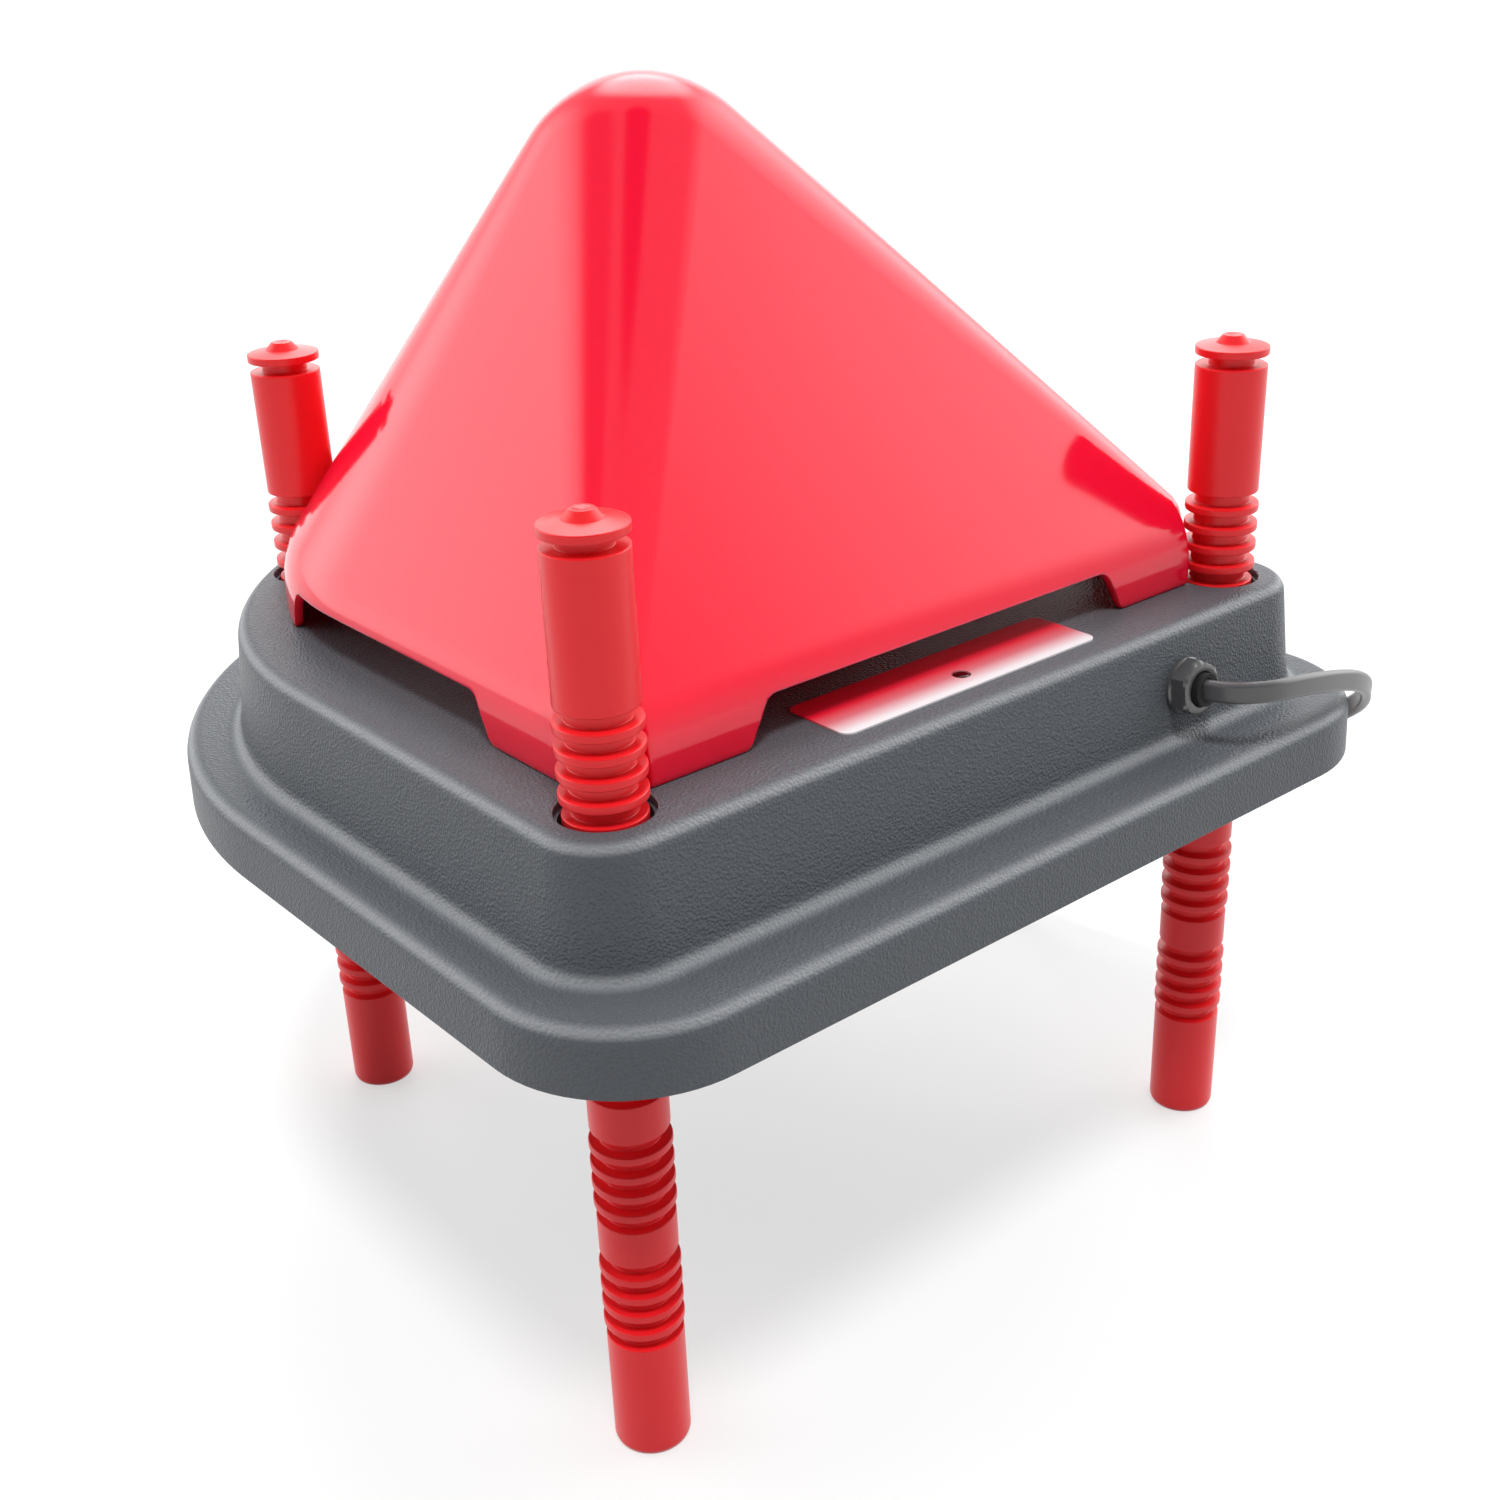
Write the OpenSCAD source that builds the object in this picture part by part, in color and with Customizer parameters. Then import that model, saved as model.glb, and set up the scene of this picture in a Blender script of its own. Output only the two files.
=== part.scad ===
// Brooder heating plate: a D-shaped warm plate that stands on four legs,
// with a loose pyramid cover that keeps chicks from perching on its top.
// Millimetres. The origin is on the floor below the middle of the plate,
// +Z is up and the side with the label and the cord faces -Y.

/* [Plate] */
// Width of the lower flange
plate_w = 300; // [280:1:340]
// Depth of the plate without the flange's deeper back, from the straight front to the round back
plate_d = 310; // [296:1:360]
// How much deeper the flange is at its round back
flange_back = 3.7; // [0:0.1:8]
// Height of the flange's lower edge above the floor
ride_h = 135; // [125:1:150]
// Height of the flange
flange_h = 18; // [16:0.5:26]
// Height of the upper tier above the flange
tier_h = 34; // [32:0.5:44]
// Radius of the flange's two front corners
flange_corner_r = 39; // [26:1:60]
// How far the flange's wall leans in from foot to top
flange_lean = 0.6; // [0.2:0.1:2]
// Radius of the rounded upper edge of the flange
flange_edge_r = 5; // [2:0.5:7]
// Tier edge from the flange edge, at the sides and the back
tier_inset = 19; // [14:0.5:24]
// Tier edge from the flange edge, at the front
tier_front_inset = 24; // [18:0.5:28]
// Radius of the tier's two front corners
tier_corner_r = 18; // [12:0.5:26]
// Radius of the rounded upper edge of the tier
tier_edge_r = 4; // [2:0.5:6]
// How far the tier's walls lean in from foot to top
tier_lean = 3.5; // [1:0.5:6]
// Wall of the moulded housing
shell_t = 2.5; // [2:0.25:3.5]

/* [Underside] */
// Thickness of the base plate
base_t = 3; // [2:0.25:4]
// How far the base plate sits up inside the flange
base_recess = 2; // [1.9:0.1:3]
// Gap between the base plate and the flange wall
base_gap = 0.5; // [0.4:0.1:1]
// Width of the sealing strip round the edge
seal_w = 4; // [2:0.5:5]
// Thickness of the heating mat
mat_t = 1.2; // [0.8:0.1:2]
// Edge of the heating mat from the flange edge
mat_inset = 19; // [18:0.5:24]
// Width of the heating track
track_w = 3; // [2:0.5:5]
// Height of the heating track on the mat
track_t = 0.4; // [0.2:0.1:0.8]
// Distance from one run of the heating track to the next
track_step = 12; // [9:0.5:16]
// Thickness of the insulation
pad_t = 17; // [10:0.5:18]
// Edge of the insulation from the flange edge
pad_inset = 25; // [24:0.5:30]

/* [Legs] */
// Front leg axis from the flange's side
leg_side_inset = 38; // [36:0.5:44]
// Front leg axis from the flange's front
leg_front_inset = 43; // [42:0.5:48]
// Direction of the back legs, measured from the side towards the back
back_leg_angle = 46.5; // [40:0.5:52]
// Diameter of the plain parts of a leg
leg_d = 20.4; // [18:0.1:21]
// Diameter over the ribs
rib_d = 21.2; // [20:0.1:21.6]
// Diameter at the bottom of the grooves
groove_d = 16.8; // [14:0.1:18]
// Width of one groove
groove_w = 3.6; // [2.8:0.1:4.4]
// Width of one rib
rib_w = 2.2; // [1.6:0.1:3]
// Grooves in one group
groove_count = 5; // [3:1:6]
// Groups of grooves on a leg
group_count = 5; // [4:1:5]
// Plain band between two groups
band_h = 10.9; // [8:0.1:14]
// Plain foot below the lowest group
foot_h = 35.6; // [28:0.1:44]
// Plain shoulder above the highest group
shoulder_h = 36.7; // [30:0.1:44]
// Neck between the shoulder and the cap
neck_h = 3; // [2:0.25:4]
// Diameter of the neck
neck_d = 13; // [11:0.5:16]
// Thickness of the cap
cap_h = 2.2; // [1.5:0.1:3]
// Diameter of the cap
cap_d = 20.8; // [19:0.1:21.4]
// Height of the moulding nub on the cap
nub_h = 3.1; // [2:0.1:5]
// Diameter of the moulding nub at its foot
nub_d = 9.8; // [7:0.1:11]
// Rounding at the bottom of the foot
foot_edge = 1.8; // [1:0.1:2.5]

/* [Leg guides] */
// Leg hole in the housing and the base plate
leg_hole_d = 24; // [23.4:0.1:25]
// Bore of the guide sleeves
guide_bore_d = 22.4; // [22.2:0.1:23]
// Wall of the guide sleeves
guide_t = 1.6; // [1.4:0.1:2.4]
// Bore of the rubber grip ring in each sleeve
ring_bore_d = 21.7; // [21.6:0.05:22]
// Height of the grip ring
ring_h = 4; // [3:0.25:6]
// How deep the grip ring is let into its sleeve
ring_seat = 0.8; // [0.5:0.1:1]

/* [Cover] */
// Cover edge from the tier edge, at the sides and the back
cover_inset = 18.5; // [18:0.5:24]
// Cover edge from the tier edge, at the front
cover_front_inset = 19; // [18.5:0.5:24]
// Radius of the cover's two front corners
cover_corner_r = 10; // [6:0.5:20]
// How much deeper the cover's round back is than the tier's
cover_back = 9; // [0:0.5:12]
// Height of the upright feet
cover_foot_h = 14.3; // [10:0.1:20]
// Height of the cover
cover_h = 145; // [120:1:170]
// Radius of the round peak
peak_r = 37.4; // [24:0.2:44]
// Peak behind the middle of the round back
peak_back = 6; // [0:0.5:12]
// Wall of the cover
cover_t = 2.5; // [2:0.1:3.5]
// Room that the cover leaves round a leg
cover_leg_gap = 2.6; // [1.2:0.1:3]
// Width of the front arch at the plate
front_arch_w = 137; // [110:1:150]
// Width of the side arches at the plate
side_arch_w = 110.6; // [80:1:120]
// Middle of the side arches in front of the middle of the plate
side_arch_y = 9.7; // [0:0.1:20]
// Width of the back arch at the plate
back_arch_w = 78; // [50:1:90]
// Height of the arches between the feet
arch_h = 13; // [10:0.1:13.5]
// How much each arch narrows from the plate to its top, at one end
arch_lean = 6; // [4:0.5:12]

/* [Label and lamp] */
// Width of the label plate
label_w = 93; // [70:1:110]
// Depth of the label plate
label_d = 23; // [16:0.5:24]
// Thickness of the label plate
label_t = 0.5; // [0.3:0.1:1]
// Corner radius of the label plate
label_r = 3; // [1:0.5:5]
// Middle of the label from the tier's front edge
label_inset = 20.4; // [19:0.1:26]
// Diameter of the pilot lamp's lens
lamp_d = 5; // [4:0.1:6]
// Lamp to the right of the middle of the label
lamp_x = 1.3; // [-6:0.1:6]
// Lamp in front of the middle of the label
lamp_ahead = 3.8; // [2:0.1:6]

/* [Cord] */
// Cord gland beside the right front leg, from axis to axis
gland_leg_gap = 40; // [34:1:50]
// Depth of the gland's axis below the plate's top
gland_drop = 18; // [14:0.5:20]
// Gland nut across its flats
gland_af = 17; // [15:0.5:18]
// Thickness of the gland nut
gland_h = 6; // [4:0.5:7]
// Width of the flat cord
cord_w = 6.4; // [5.4:0.1:6.6]
// Thickness of the flat cord
cord_t = 3.4; // [2.6:0.1:4]

/* [Hidden] */

$fn = 96;
hull_fn = 64;
dome_fn = 48;
over = 1;
skin = 0.1;

// Levels
flange_top = ride_h + flange_h;
plate_top = flange_top + tier_h;
flange_ceiling = flange_top - shell_t;
tier_ceiling = plate_top - shell_t;
base_low = ride_h + base_recess;
base_top = base_low + base_t;
mat_top = base_top + mat_t;
track_top = mat_top + track_t;

// Plan of the plate: straight front, round back
half_w = plate_w / 2;
front_y = -plate_d / 2;
round_y = plate_d / 2 - half_w;
tier_half_w = half_w - tier_inset;
tier_front_y = front_y + tier_front_inset;

// Leg places
guide_d = guide_bore_d + 2 * guide_t;
guide_wall_gap = 0.4;
guide_room = 1;
notch_mouth_share = 0.85;
front_leg_x = half_w - leg_side_inset;
front_leg_y = front_y + leg_front_inset;
front_leg_angle = -45;
back_leg_r = tier_half_w - shell_t - guide_wall_gap - guide_d / 2;
back_leg_x = back_leg_r * cos(back_leg_angle);
back_leg_y = round_y + back_leg_r * sin(back_leg_angle);

// Leg profile
group_h = groove_count * groove_w + (groove_count - 1) * rib_w;
group_step = group_h + band_h;
shoulder_z = foot_h + group_count * group_h + (group_count - 1) * band_h;
neck_z = shoulder_z + shoulder_h;
cap_z = neck_z + neck_h;
cap_top = cap_z + cap_h;
leg_edge = 0.3;
cap_rise_share = 0.3;
nub_top_share = 0.6;
nub_dish_share = 0.42;
nub_dish_h_share = 0.15;
groove_flank_share = 0.08;

// Grip rings: one in the middle of each sleeve
ring_z = (base_top + tier_ceiling) / 2;
ring_gap = 0.1;

// Base screws
post_d = 7;
post_inset = 12;
screw_d = 2.9;
screw_gap = 0.1;
screw_head_d = 5.6;
screw_head_h = 1.8;
screw_len = 9;
screw_front_share = 0.3;
screw_back_angles = [13, 66];
screw_front_x = screw_front_share * plate_w;
screw_round_r = half_w - post_inset;
screw_side_y = (front_y + flange_corner_r + round_y) / 2;
screw_places = [
  for (side = [-1, 1]) each [
    [side * screw_front_x, front_y + post_inset],
    [side * screw_round_r, screw_side_y],
    for (a = screw_back_angles) [side * screw_round_r * cos(a), round_y + screw_round_r * sin(a)]
  ]
];

// Heating track: runs from front to back, each as long as the round back and the guides allow
track_edge = 6;
track_r = half_w - mat_inset - track_edge;
track_front_y = front_leg_y + guide_d;
track_bus_y = track_front_y - track_step;
track_pairs = floor((track_r - track_edge) / track_step);
track_runs = 2 * track_pairs;
function track_x(i) = (i - (track_runs - 1) / 2) * track_step;
function round_back(x) = round_y + sqrt(track_r * track_r - x * x);
function run_back(x) =
  abs(x) > back_leg_x - guide_d ? min(round_back(x), back_leg_y - guide_d) : round_back(x);
function link_back(i) = min(run_back(track_x(i)), run_back(track_x(i % 2 == 0 ? i + 1 : i - 1)));

// Cover
cover_half_w = tier_half_w - cover_inset;
cover_front_y = tier_front_y + cover_front_inset;
cover_crease = plate_top + cover_foot_h;
cover_leg_r = rib_d / 2 + cover_leg_gap;
peak_y = round_y + peak_back;
peak_z = plate_top + cover_h - peak_r;
arch_cut = cover_half_w / 5;

// Label and lamp
label_y = tier_front_y + label_inset;
lamp_y = label_y - lamp_ahead;
lens_gap = 0.1;
lens_rise = 0.8;
lens_flange_d = 9;
lens_flange_h = 2;
board_w = 20;
board_d = 12;
board_t = 1.6;
board_top = tier_ceiling - lens_flange_h;
board_post_d = 4;
board_post_x = board_w / 2 - board_post_d / 2;
led_d = 3;
led_h = 3.2;
led_gap = 0.1;

// Gland, square to the leaning front wall
gland_x = front_leg_x - gland_leg_gap;
lean_angle = atan(tier_lean / tier_h);
gland_z = plate_top - gland_drop;
gland_wall_y = tier_front_y - tier_lean * gland_drop / tier_h;
gland_shank_d = 12;
gland_bore_d = 9.6;
gland_gap = 0.1;
gland_washer_d = 19;
gland_washer_h = 1.5;
locknut_h = 4;
gland_reach = shell_t + locknut_h + over;
bush_lip = 0.8;
cord_gap = 0.3;

// Terminal block, against the ceiling behind the gland
terminal_w = 30;
terminal_d = 16;
terminal_h = 12;
terminal_back = 38;
terminal_y = gland_wall_y + terminal_back;
terminal_low = tier_ceiling - terminal_h;
terminal_bore = 3;
terminal_bore_x = terminal_w / 5;

// Thermal cutout, on the mat at the end of the heating track
cutout_w = 16;
cutout_d = 9;
cutout_h = 6;
cutout_gap = 29;
bus_end_x = gland_x - terminal_w / 2 - cutout_w / 2;
cutout_x = bus_end_x - cutout_gap;
pocket_room = 2;

// Wires on the inside
wire_d = 2.2;
wire_sides = 8;
wire_steps = 10;
wire_stub = 0.5;
core_gap = cord_t;

// Cord: out of the gland, over the flange's corner and down beside the plate to the floor
cord_in = gland_reach + cord_gap;
cord_ahead = [0, -cos(lean_angle), sin(lean_angle)];
cord_start = [gland_x, gland_wall_y, gland_z] - cord_in * cord_ahead;
cord_out = [
  [0, 0, 0], [0, -8.1, 0.8], [1.2, -13.7, 1.4], [4.4, -18.5, 1.8], [9.2, -21.7, 1.8], [15, -22.9, 1.2]
];
cord_corner = [
  [-53, -0.6, 33.4], [-42, 0.4, 30.8], [-31, 2, 27.6], [-20, 4, 23.6], [-10, 7, 18.4],
  [-1.5, 11.5, 11.8], [4.5, 18, 4.8], [8, 27, -2.4], [10.5, 39, -10.5]
];
// Each further point: distance beside the plate, share of its depth from the front, share of its ride height
cord_down = [
  [12, 0.174, 0.844], [13, 0.229, 0.748], [14, 0.287, 0.63], [15, 0.352, 0.481],
  [15.5, 0.416, 0.333], [16, 0.481, 0.196], [16.5, 0.545, 0.095], [17, 0.616, 0.0444]
];
cord_floor = [[17, 0.694], [16, 0.771], [14, 0.855], [11, 0.945]];
cord_end = [[6.6, 13, 0], [4.8, 24, 0], [4, 33.6, 0], [4, 41.6, 0]];
coil_low = 4.8;
cord_route = concat(
  [cord_start],
  [for (p = cord_out) [gland_x, gland_wall_y, gland_z] + p],
  [for (p = cord_corner) [half_w, front_y, ride_h] + p],
  [for (p = cord_down) [half_w + p[0], front_y + p[1] * plate_d, p[2] * ride_h]],
  [for (p = cord_floor) [half_w + p[0], front_y + p[1] * plate_d, coil_low]],
  [for (p = cord_end) [half_w, -front_y, coil_low] + p]
);
cord_sides = 8;

// Stored coil: spirals in on the lower layer, climbs and spirals out on the upper one
coil_r = 42;
coil_middle = [half_w + 4 - coil_r, 48 - front_y];
coil_pitch = 5.2;
coil_layer = 7;
coil_turns = 5.25;
coil_rings = 24;
coil_sides = 6;
coil_soft = 0.15;
coil_steps = coil_turns * coil_rings;

// Tail: from the coil to the plug, turning from edge-on to flat
tail_run = [
  [-6.4, 42, 7], [-11, 42, 7], [-17, 41.9, 6.5], [-27, 41.4, 5.2], [-38, 40.6, 3.6],
  [-49, 39.8, 2.6], [-60, 39, 2.2], [-72, 39, 2.2]
];
tail_route = [for (p = tail_run) [coil_middle.x, coil_middle.y, coil_low] + p];
tail_twist = 90;

// Tie round the coil
tie_angle = 200;
tie_w = 9;
tie_t = 1;
tie_room = 0.4;

// Plug at the end of the tail
plug_place = tail_route[len(tail_route) - 1];
relief_len = 24;
relief_d = 10;
relief_tip_d = 7.6;
plug_len = 36;
plug_w = 34;
plug_neck_w = 18;
plug_t = 13.6;
plug_edge = 4;
pin_d = 4;
pin_len = 19;
pin_gap = 18.6;
pin_root = 8;
pin_root_d = 3.2;
pin_play = 0.05;

// A rounded D in plan: straight front with two round corners, round back
module dee(inset, front_inset, corner_r, back) {
  half = half_w - inset;
  low = front_y + front_inset;
  high = round_y + back;
  dee_rounds(inset, front_inset, corner_r, back);
  translate([-half, low + corner_r]) square([2 * half, high - low - corner_r]);
  translate([corner_r - half, low]) square([2 * (half - corner_r), high - low]);
}

// The D's three rounds, which a hull joins into the D
module dee_rounds(inset, front_inset, corner_r, back) {
  half = half_w - inset;
  low = front_y + front_inset;
  translate([0, round_y + back]) intersection() {
    circle(r = half);
    translate([-half, 0]) square([2 * half, half]);
  }
  for (side = [-1, 1]) translate([side * (half - corner_r), low + corner_r]) circle(r = corner_r);
}

module flange_dee(inset) {
  dee(inset, inset, flange_corner_r - inset, flange_back);
}

module flange_rounds(inset) {
  dee_rounds(inset, inset, flange_corner_r - inset, flange_back);
}

module tier_rounds(inset) {
  dee_rounds(tier_inset + inset, tier_front_inset + inset, tier_corner_r - inset, 0);
}

cover_side = tier_inset + cover_inset;
cover_front = tier_front_inset + cover_front_inset;

module cover_dee(inset) {
  dee(cover_side + inset, cover_front + inset, cover_corner_r - inset, cover_back);
}

module cover_rounds(inset) {
  dee_rounds(cover_side + inset, cover_front + inset, cover_corner_r - inset, cover_back);
}

// Thin slice of an outline whose upper face is at height z
module slice_under(z) {
  translate([0, 0, z - skin]) linear_extrude(skin, $fn = hull_fn) children();
}

// Inset of the leaning tier wall at height z
function wall_inset(z) = -tier_lean * (plate_top - z) / tier_h;

module at_legs() {
  for (side = [-1, 1]) {
    translate([side * front_leg_x, front_leg_y]) children();
    translate([side * back_leg_x, back_leg_y]) children();
  }
}

// Leg cut-outs of a flat layer, open towards the layer's edge
module leg_notches() {
  r = guide_d / 2 + guide_room;
  for (side = [0, 1]) mirror([side, 0]) {
    translate([front_leg_x, front_leg_y]) leg_notch(r, front_leg_angle);
    translate([back_leg_x, back_leg_y]) leg_notch(r, back_leg_angle);
  }
}

module leg_notch(r, angle) {
  mouth = notch_mouth_share * r;
  circle(r = r);
  rotate(angle) translate([0, -mouth]) square([leg_side_inset, 2 * mouth]);
}

module on_front_wall() {
  translate([gland_x, gland_wall_y, gland_z]) rotate([90 - lean_angle, 0, 0]) children();
}

// Flat cord section: two half rounds of the cord's thickness, set apart along its width
function flat_section(sides, width, thick) = [
  for (k = [0:sides - 1])
    let (a = (k + 0.5) * 360 / sides + (sides % 4 == 0 ? 0 : 180 / sides + 30))
    [thick / 2 * cos(a), thick / 2 * sin(a) + sign(round(sin(a) * sides)) * (width - thick) / 2]
];
function round_section(sides, d) = [
  for (k = [0:sides - 1]) let (a = k * 360 / sides) d / 2 * [cos(a), sin(a)]
];

function unit(v) = v / norm(v);
function heading(path, i) = unit(path[min(i + 1, len(path) - 1)] - path[max(i - 1, 0)]);
function turned(p, a) = [p.x * cos(a) - p.y * sin(a), p.x * sin(a) + p.y * cos(a)];
function tube_ring(path, i, section, above, twist) =
  let (
    ahead = heading(path, i),
    side = unit(cross(ahead, above)),
    rise = cross(side, ahead),
    share = i / (len(path) - 1),
    roll = twist * share * share * (3 - 2 * share)
  )
  [for (s = section) let (p = turned(s, roll)) path[i] + p.x * side + p.y * rise];

// Tube with the given section along a path, its section's second axis nearest to the way above
module tube(path, section, above = [0, 0, 1], twist = 0) {
  n = len(section);
  m = len(path);
  corners = [for (i = [0:m - 1]) each tube_ring(path, i, section, above, twist)];
  start = [for (k = [1:n - 2]) [0, k + 1, k]];
  end = [for (k = [1:n - 2]) [(m - 1) * n, (m - 1) * n + k, (m - 1) * n + k + 1]];
  sides = [
    for (i = [0:m - 2], k = [0:n - 1])
      let (a = i * n + k, b = i * n + (k + 1) % n) each [[a, b, b + n], [a, b + n, a + n]]
  ];
  polyhedron(corners, concat(start, sides, end));
}

// Wire on a smooth curve from a to b that leaves a along the first handle and meets b along the second
function bend(a, p, q, b, t) =
  let (s = 1 - t) s * s * s * a + 3 * s * s * t * p + 3 * s * t * t * q + t * t * t * b;
module wire(a, a_handle, b, b_handle) {
  c = a + wire_stub * unit(a_handle);
  d = b + wire_stub * unit(b_handle);
  curve = [for (i = [0:wire_steps]) bend(c, c + a_handle, d + b_handle, d, i / wire_steps)];
  tube(concat([a], curve, [b]), round_section(wire_sides, wire_d), above = [0.3, 1, 0.2]);
}

module top_housing() {
  color("darkslategray") {
    difference() {
      union() {
        rounded_body(ride_h, flange_top, flange_edge_r, flange_lean) flange_rounds(flange_lean + $inset);
        rounded_body(flange_top - skin, plate_top, tier_edge_r, tier_lean) tier_rounds($inset);
      }
      translate([0, 0, ride_h - over]) linear_extrude(flange_ceiling - ride_h + over) flange_dee(shell_t);
      hull() {
        slice_under(flange_ceiling) tier_rounds(shell_t + wall_inset(flange_ceiling));
        slice_under(tier_ceiling) tier_rounds(shell_t + wall_inset(tier_ceiling));
      }
      at_legs() translate([0, 0, tier_ceiling - over]) cylinder(d = leg_hole_d, h = shell_t + 2 * over);
      translate([lamp_x, lamp_y, tier_ceiling - over]) {
        cylinder(d = lamp_d + 2 * lens_gap, h = shell_t + 2 * over);
      }
      on_front_wall() translate([0, 0, -gland_reach]) {
        cylinder(d = gland_shank_d + 2 * gland_gap, h = gland_reach + over);
      }
    }
    screw_posts();
    for (side = [-1, 1]) translate([lamp_x + side * board_post_x, lamp_y, board_top]) {
      cylinder(d = board_post_d, h = tier_ceiling - board_top);
    }
  }
}

// Body of a leaning outline with a rounded upper edge; the outline reads its inset from $inset
module rounded_body(low, top, edge_r, lean) {
  hull() {
    for (level = [[low + skin, -lean], [top - edge_r, -lean * edge_r / (top - low)]]) {
      $inset = level[1];
      slice_under(level[0]) children();
    }
    for (a = [45, 90]) {
      $inset = edge_r * (1 - cos(a));
      slice_under(top - edge_r * (1 - sin(a))) children();
    }
  }
}

module screw_posts() {
  for (place = screw_places) translate([place.x, place.y, base_top]) difference() {
    cylinder(d = post_d, h = flange_ceiling - base_top);
    translate([0, 0, -over]) cylinder(d = screw_d + 2 * screw_gap, h = flange_ceiling - base_top);
  }
}

module base_plate() {
  color("dimgray") translate([0, 0, base_low]) linear_extrude(base_t) difference() {
    flange_dee(shell_t + base_gap);
    at_legs() circle(d = leg_hole_d);
    for (place = screw_places) translate(place) circle(d = screw_d + 2 * screw_gap);
  }
}

module edge_seal() {
  color("black") translate([0, 0, base_top]) linear_extrude(flange_ceiling - base_top) difference() {
    flange_dee(shell_t + base_gap);
    flange_dee(shell_t + base_gap + seal_w);
  }
}

module base_screws() {
  color("silver") for (place = screw_places) translate([place.x, place.y, base_low]) {
    translate([0, 0, -screw_head_h]) cylinder(d = screw_head_d, h = screw_head_h);
    cylinder(d = screw_d, h = screw_len);
  }
}

module heating_mat() {
  color("sandybrown") translate([0, 0, base_top]) linear_extrude(mat_t) difference() {
    flange_dee(mat_inset);
    leg_notches();
  }
}

module heating_track() {
  color("dimgray") translate([0, 0, mat_top]) linear_extrude(track_t) {
    for (i = [0:track_runs - 1]) track_bar([track_x(i), track_front_y], [track_x(i), link_back(i)]);
    for (i = [0:track_runs - 2]) {
      y = i % 2 == 0 ? link_back(i) : track_front_y;
      track_bar([track_x(i), y], [track_x(i + 1), y]);
    }
    for (end = [[0, cutout_x - cutout_w / 2 - track_w / 2], [track_runs - 1, bus_end_x]]) {
      track_bar([track_x(end[0]), track_bus_y], [track_x(end[0]), track_front_y]);
      track_bar([track_x(end[0]), track_bus_y], [end[1], track_bus_y]);
    }
  }
}

// Bar of the track between two points, along X or Y
module track_bar(a, b) {
  low = [min(a.x, b.x), min(a.y, b.y)];
  high = [max(a.x, b.x), max(a.y, b.y)];
  translate(low - track_w / 2 * [1, 1]) square(high - low + track_w * [1, 1]);
}

module insulation_pad() {
  color("khaki") translate([0, 0, track_top]) linear_extrude(pad_t) difference() {
    dee(pad_inset, pad_inset, flange_corner_r - pad_inset, 0);
    leg_notches();
    translate([cutout_x, track_bus_y]) square([cutout_w, cutout_d] + 2 * pocket_room * [1, 1], center = true);
    translate([bus_end_x, track_bus_y]) circle(r = cutout_d / 2 + pocket_room);
  }
}

module leg_guide() {
  color("slategray") translate([0, 0, base_top]) difference() {
    cylinder(d = guide_d, h = tier_ceiling - base_top);
    translate([0, 0, -over]) cylinder(d = guide_bore_d, h = tier_ceiling - base_top + 2 * over);
    translate([0, 0, ring_z - base_top - ring_h / 2 - ring_gap]) {
      cylinder(d = guide_bore_d + 2 * ring_seat, h = ring_h + 2 * ring_gap);
    }
  }
}

module guide_front_left() { translate([-front_leg_x, front_leg_y]) leg_guide(); }
module guide_front_right() { translate([front_leg_x, front_leg_y]) leg_guide(); }
module guide_back_left() { translate([-back_leg_x, back_leg_y]) leg_guide(); }
module guide_back_right() { translate([back_leg_x, back_leg_y]) leg_guide(); }

module grip_rings() {
  color("black") at_legs() translate([0, 0, ring_z - ring_h / 2]) difference() {
    cylinder(d = guide_bore_d + 2 * ring_seat - 2 * ring_gap, h = ring_h);
    translate([0, 0, -over]) cylinder(d = ring_bore_d, h = ring_h + 2 * over);
  }
}

// Half profile of one group of grooves that starts at height z
function groove_group(z) = [
  for (k = [0:groove_count - 1])
    let (
      low = z + k * (groove_w + rib_w),
      flank = groove_flank_share * groove_w,
      below = k == 0 ? leg_d : rib_d,
      above = k == groove_count - 1 ? leg_d : rib_d
    )
    each [
      [below / 2, low], [groove_d / 2, low + flank],
      [groove_d / 2, low + groove_w - flank], [above / 2, low + groove_w]
    ]
];

module leg() {
  nub_r = nub_d / 2;
  nub_top = cap_top + nub_h;
  profile = concat(
    [[0, 0], [leg_d / 2 - foot_edge, 0], [leg_d / 2, foot_edge]],
    [for (g = [0:group_count - 1]) each groove_group(foot_h + g * group_step)],
    [
      [leg_d / 2, neck_z - leg_edge], [leg_d / 2 - leg_edge, neck_z], [neck_d / 2, neck_z], [neck_d / 2, cap_z],
      [cap_d / 2, cap_z], [cap_d / 2, cap_top - leg_edge], [cap_d / 2 - leg_edge, cap_top],
      [nub_r, cap_top + nub_h * cap_rise_share], [nub_r * nub_top_share, nub_top],
      [nub_r * nub_dish_share, nub_top], [0, nub_top - nub_h * nub_dish_h_share]
    ]
  );
  color("crimson") rotate_extrude() polygon(profile);
}

module leg_front_left() { translate([-front_leg_x, front_leg_y]) leg(); }
module leg_front_right() { translate([front_leg_x, front_leg_y]) leg(); }
module leg_back_left() { translate([-back_leg_x, back_leg_y]) leg(); }
module leg_back_right() { translate([back_leg_x, back_leg_y]) leg(); }

// Solid of the cover, or of its hollow when inset by the wall
module cover_form(inset) {
  translate([0, 0, plate_top - (inset > 0 ? over : 0)]) {
    linear_extrude(cover_foot_h + (inset > 0 ? over : 0)) cover_dee(inset);
  }
  hull() {
    slice_under(cover_crease) cover_rounds(inset);
    translate([0, peak_y, peak_z]) sphere(r = peak_r - inset, $fn = dome_fn);
  }
}

// Room round the legs
module leg_room(r) {
  at_legs() translate([0, 0, plate_top - 2 * over]) cylinder(r = r, h = cover_h);
}

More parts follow.
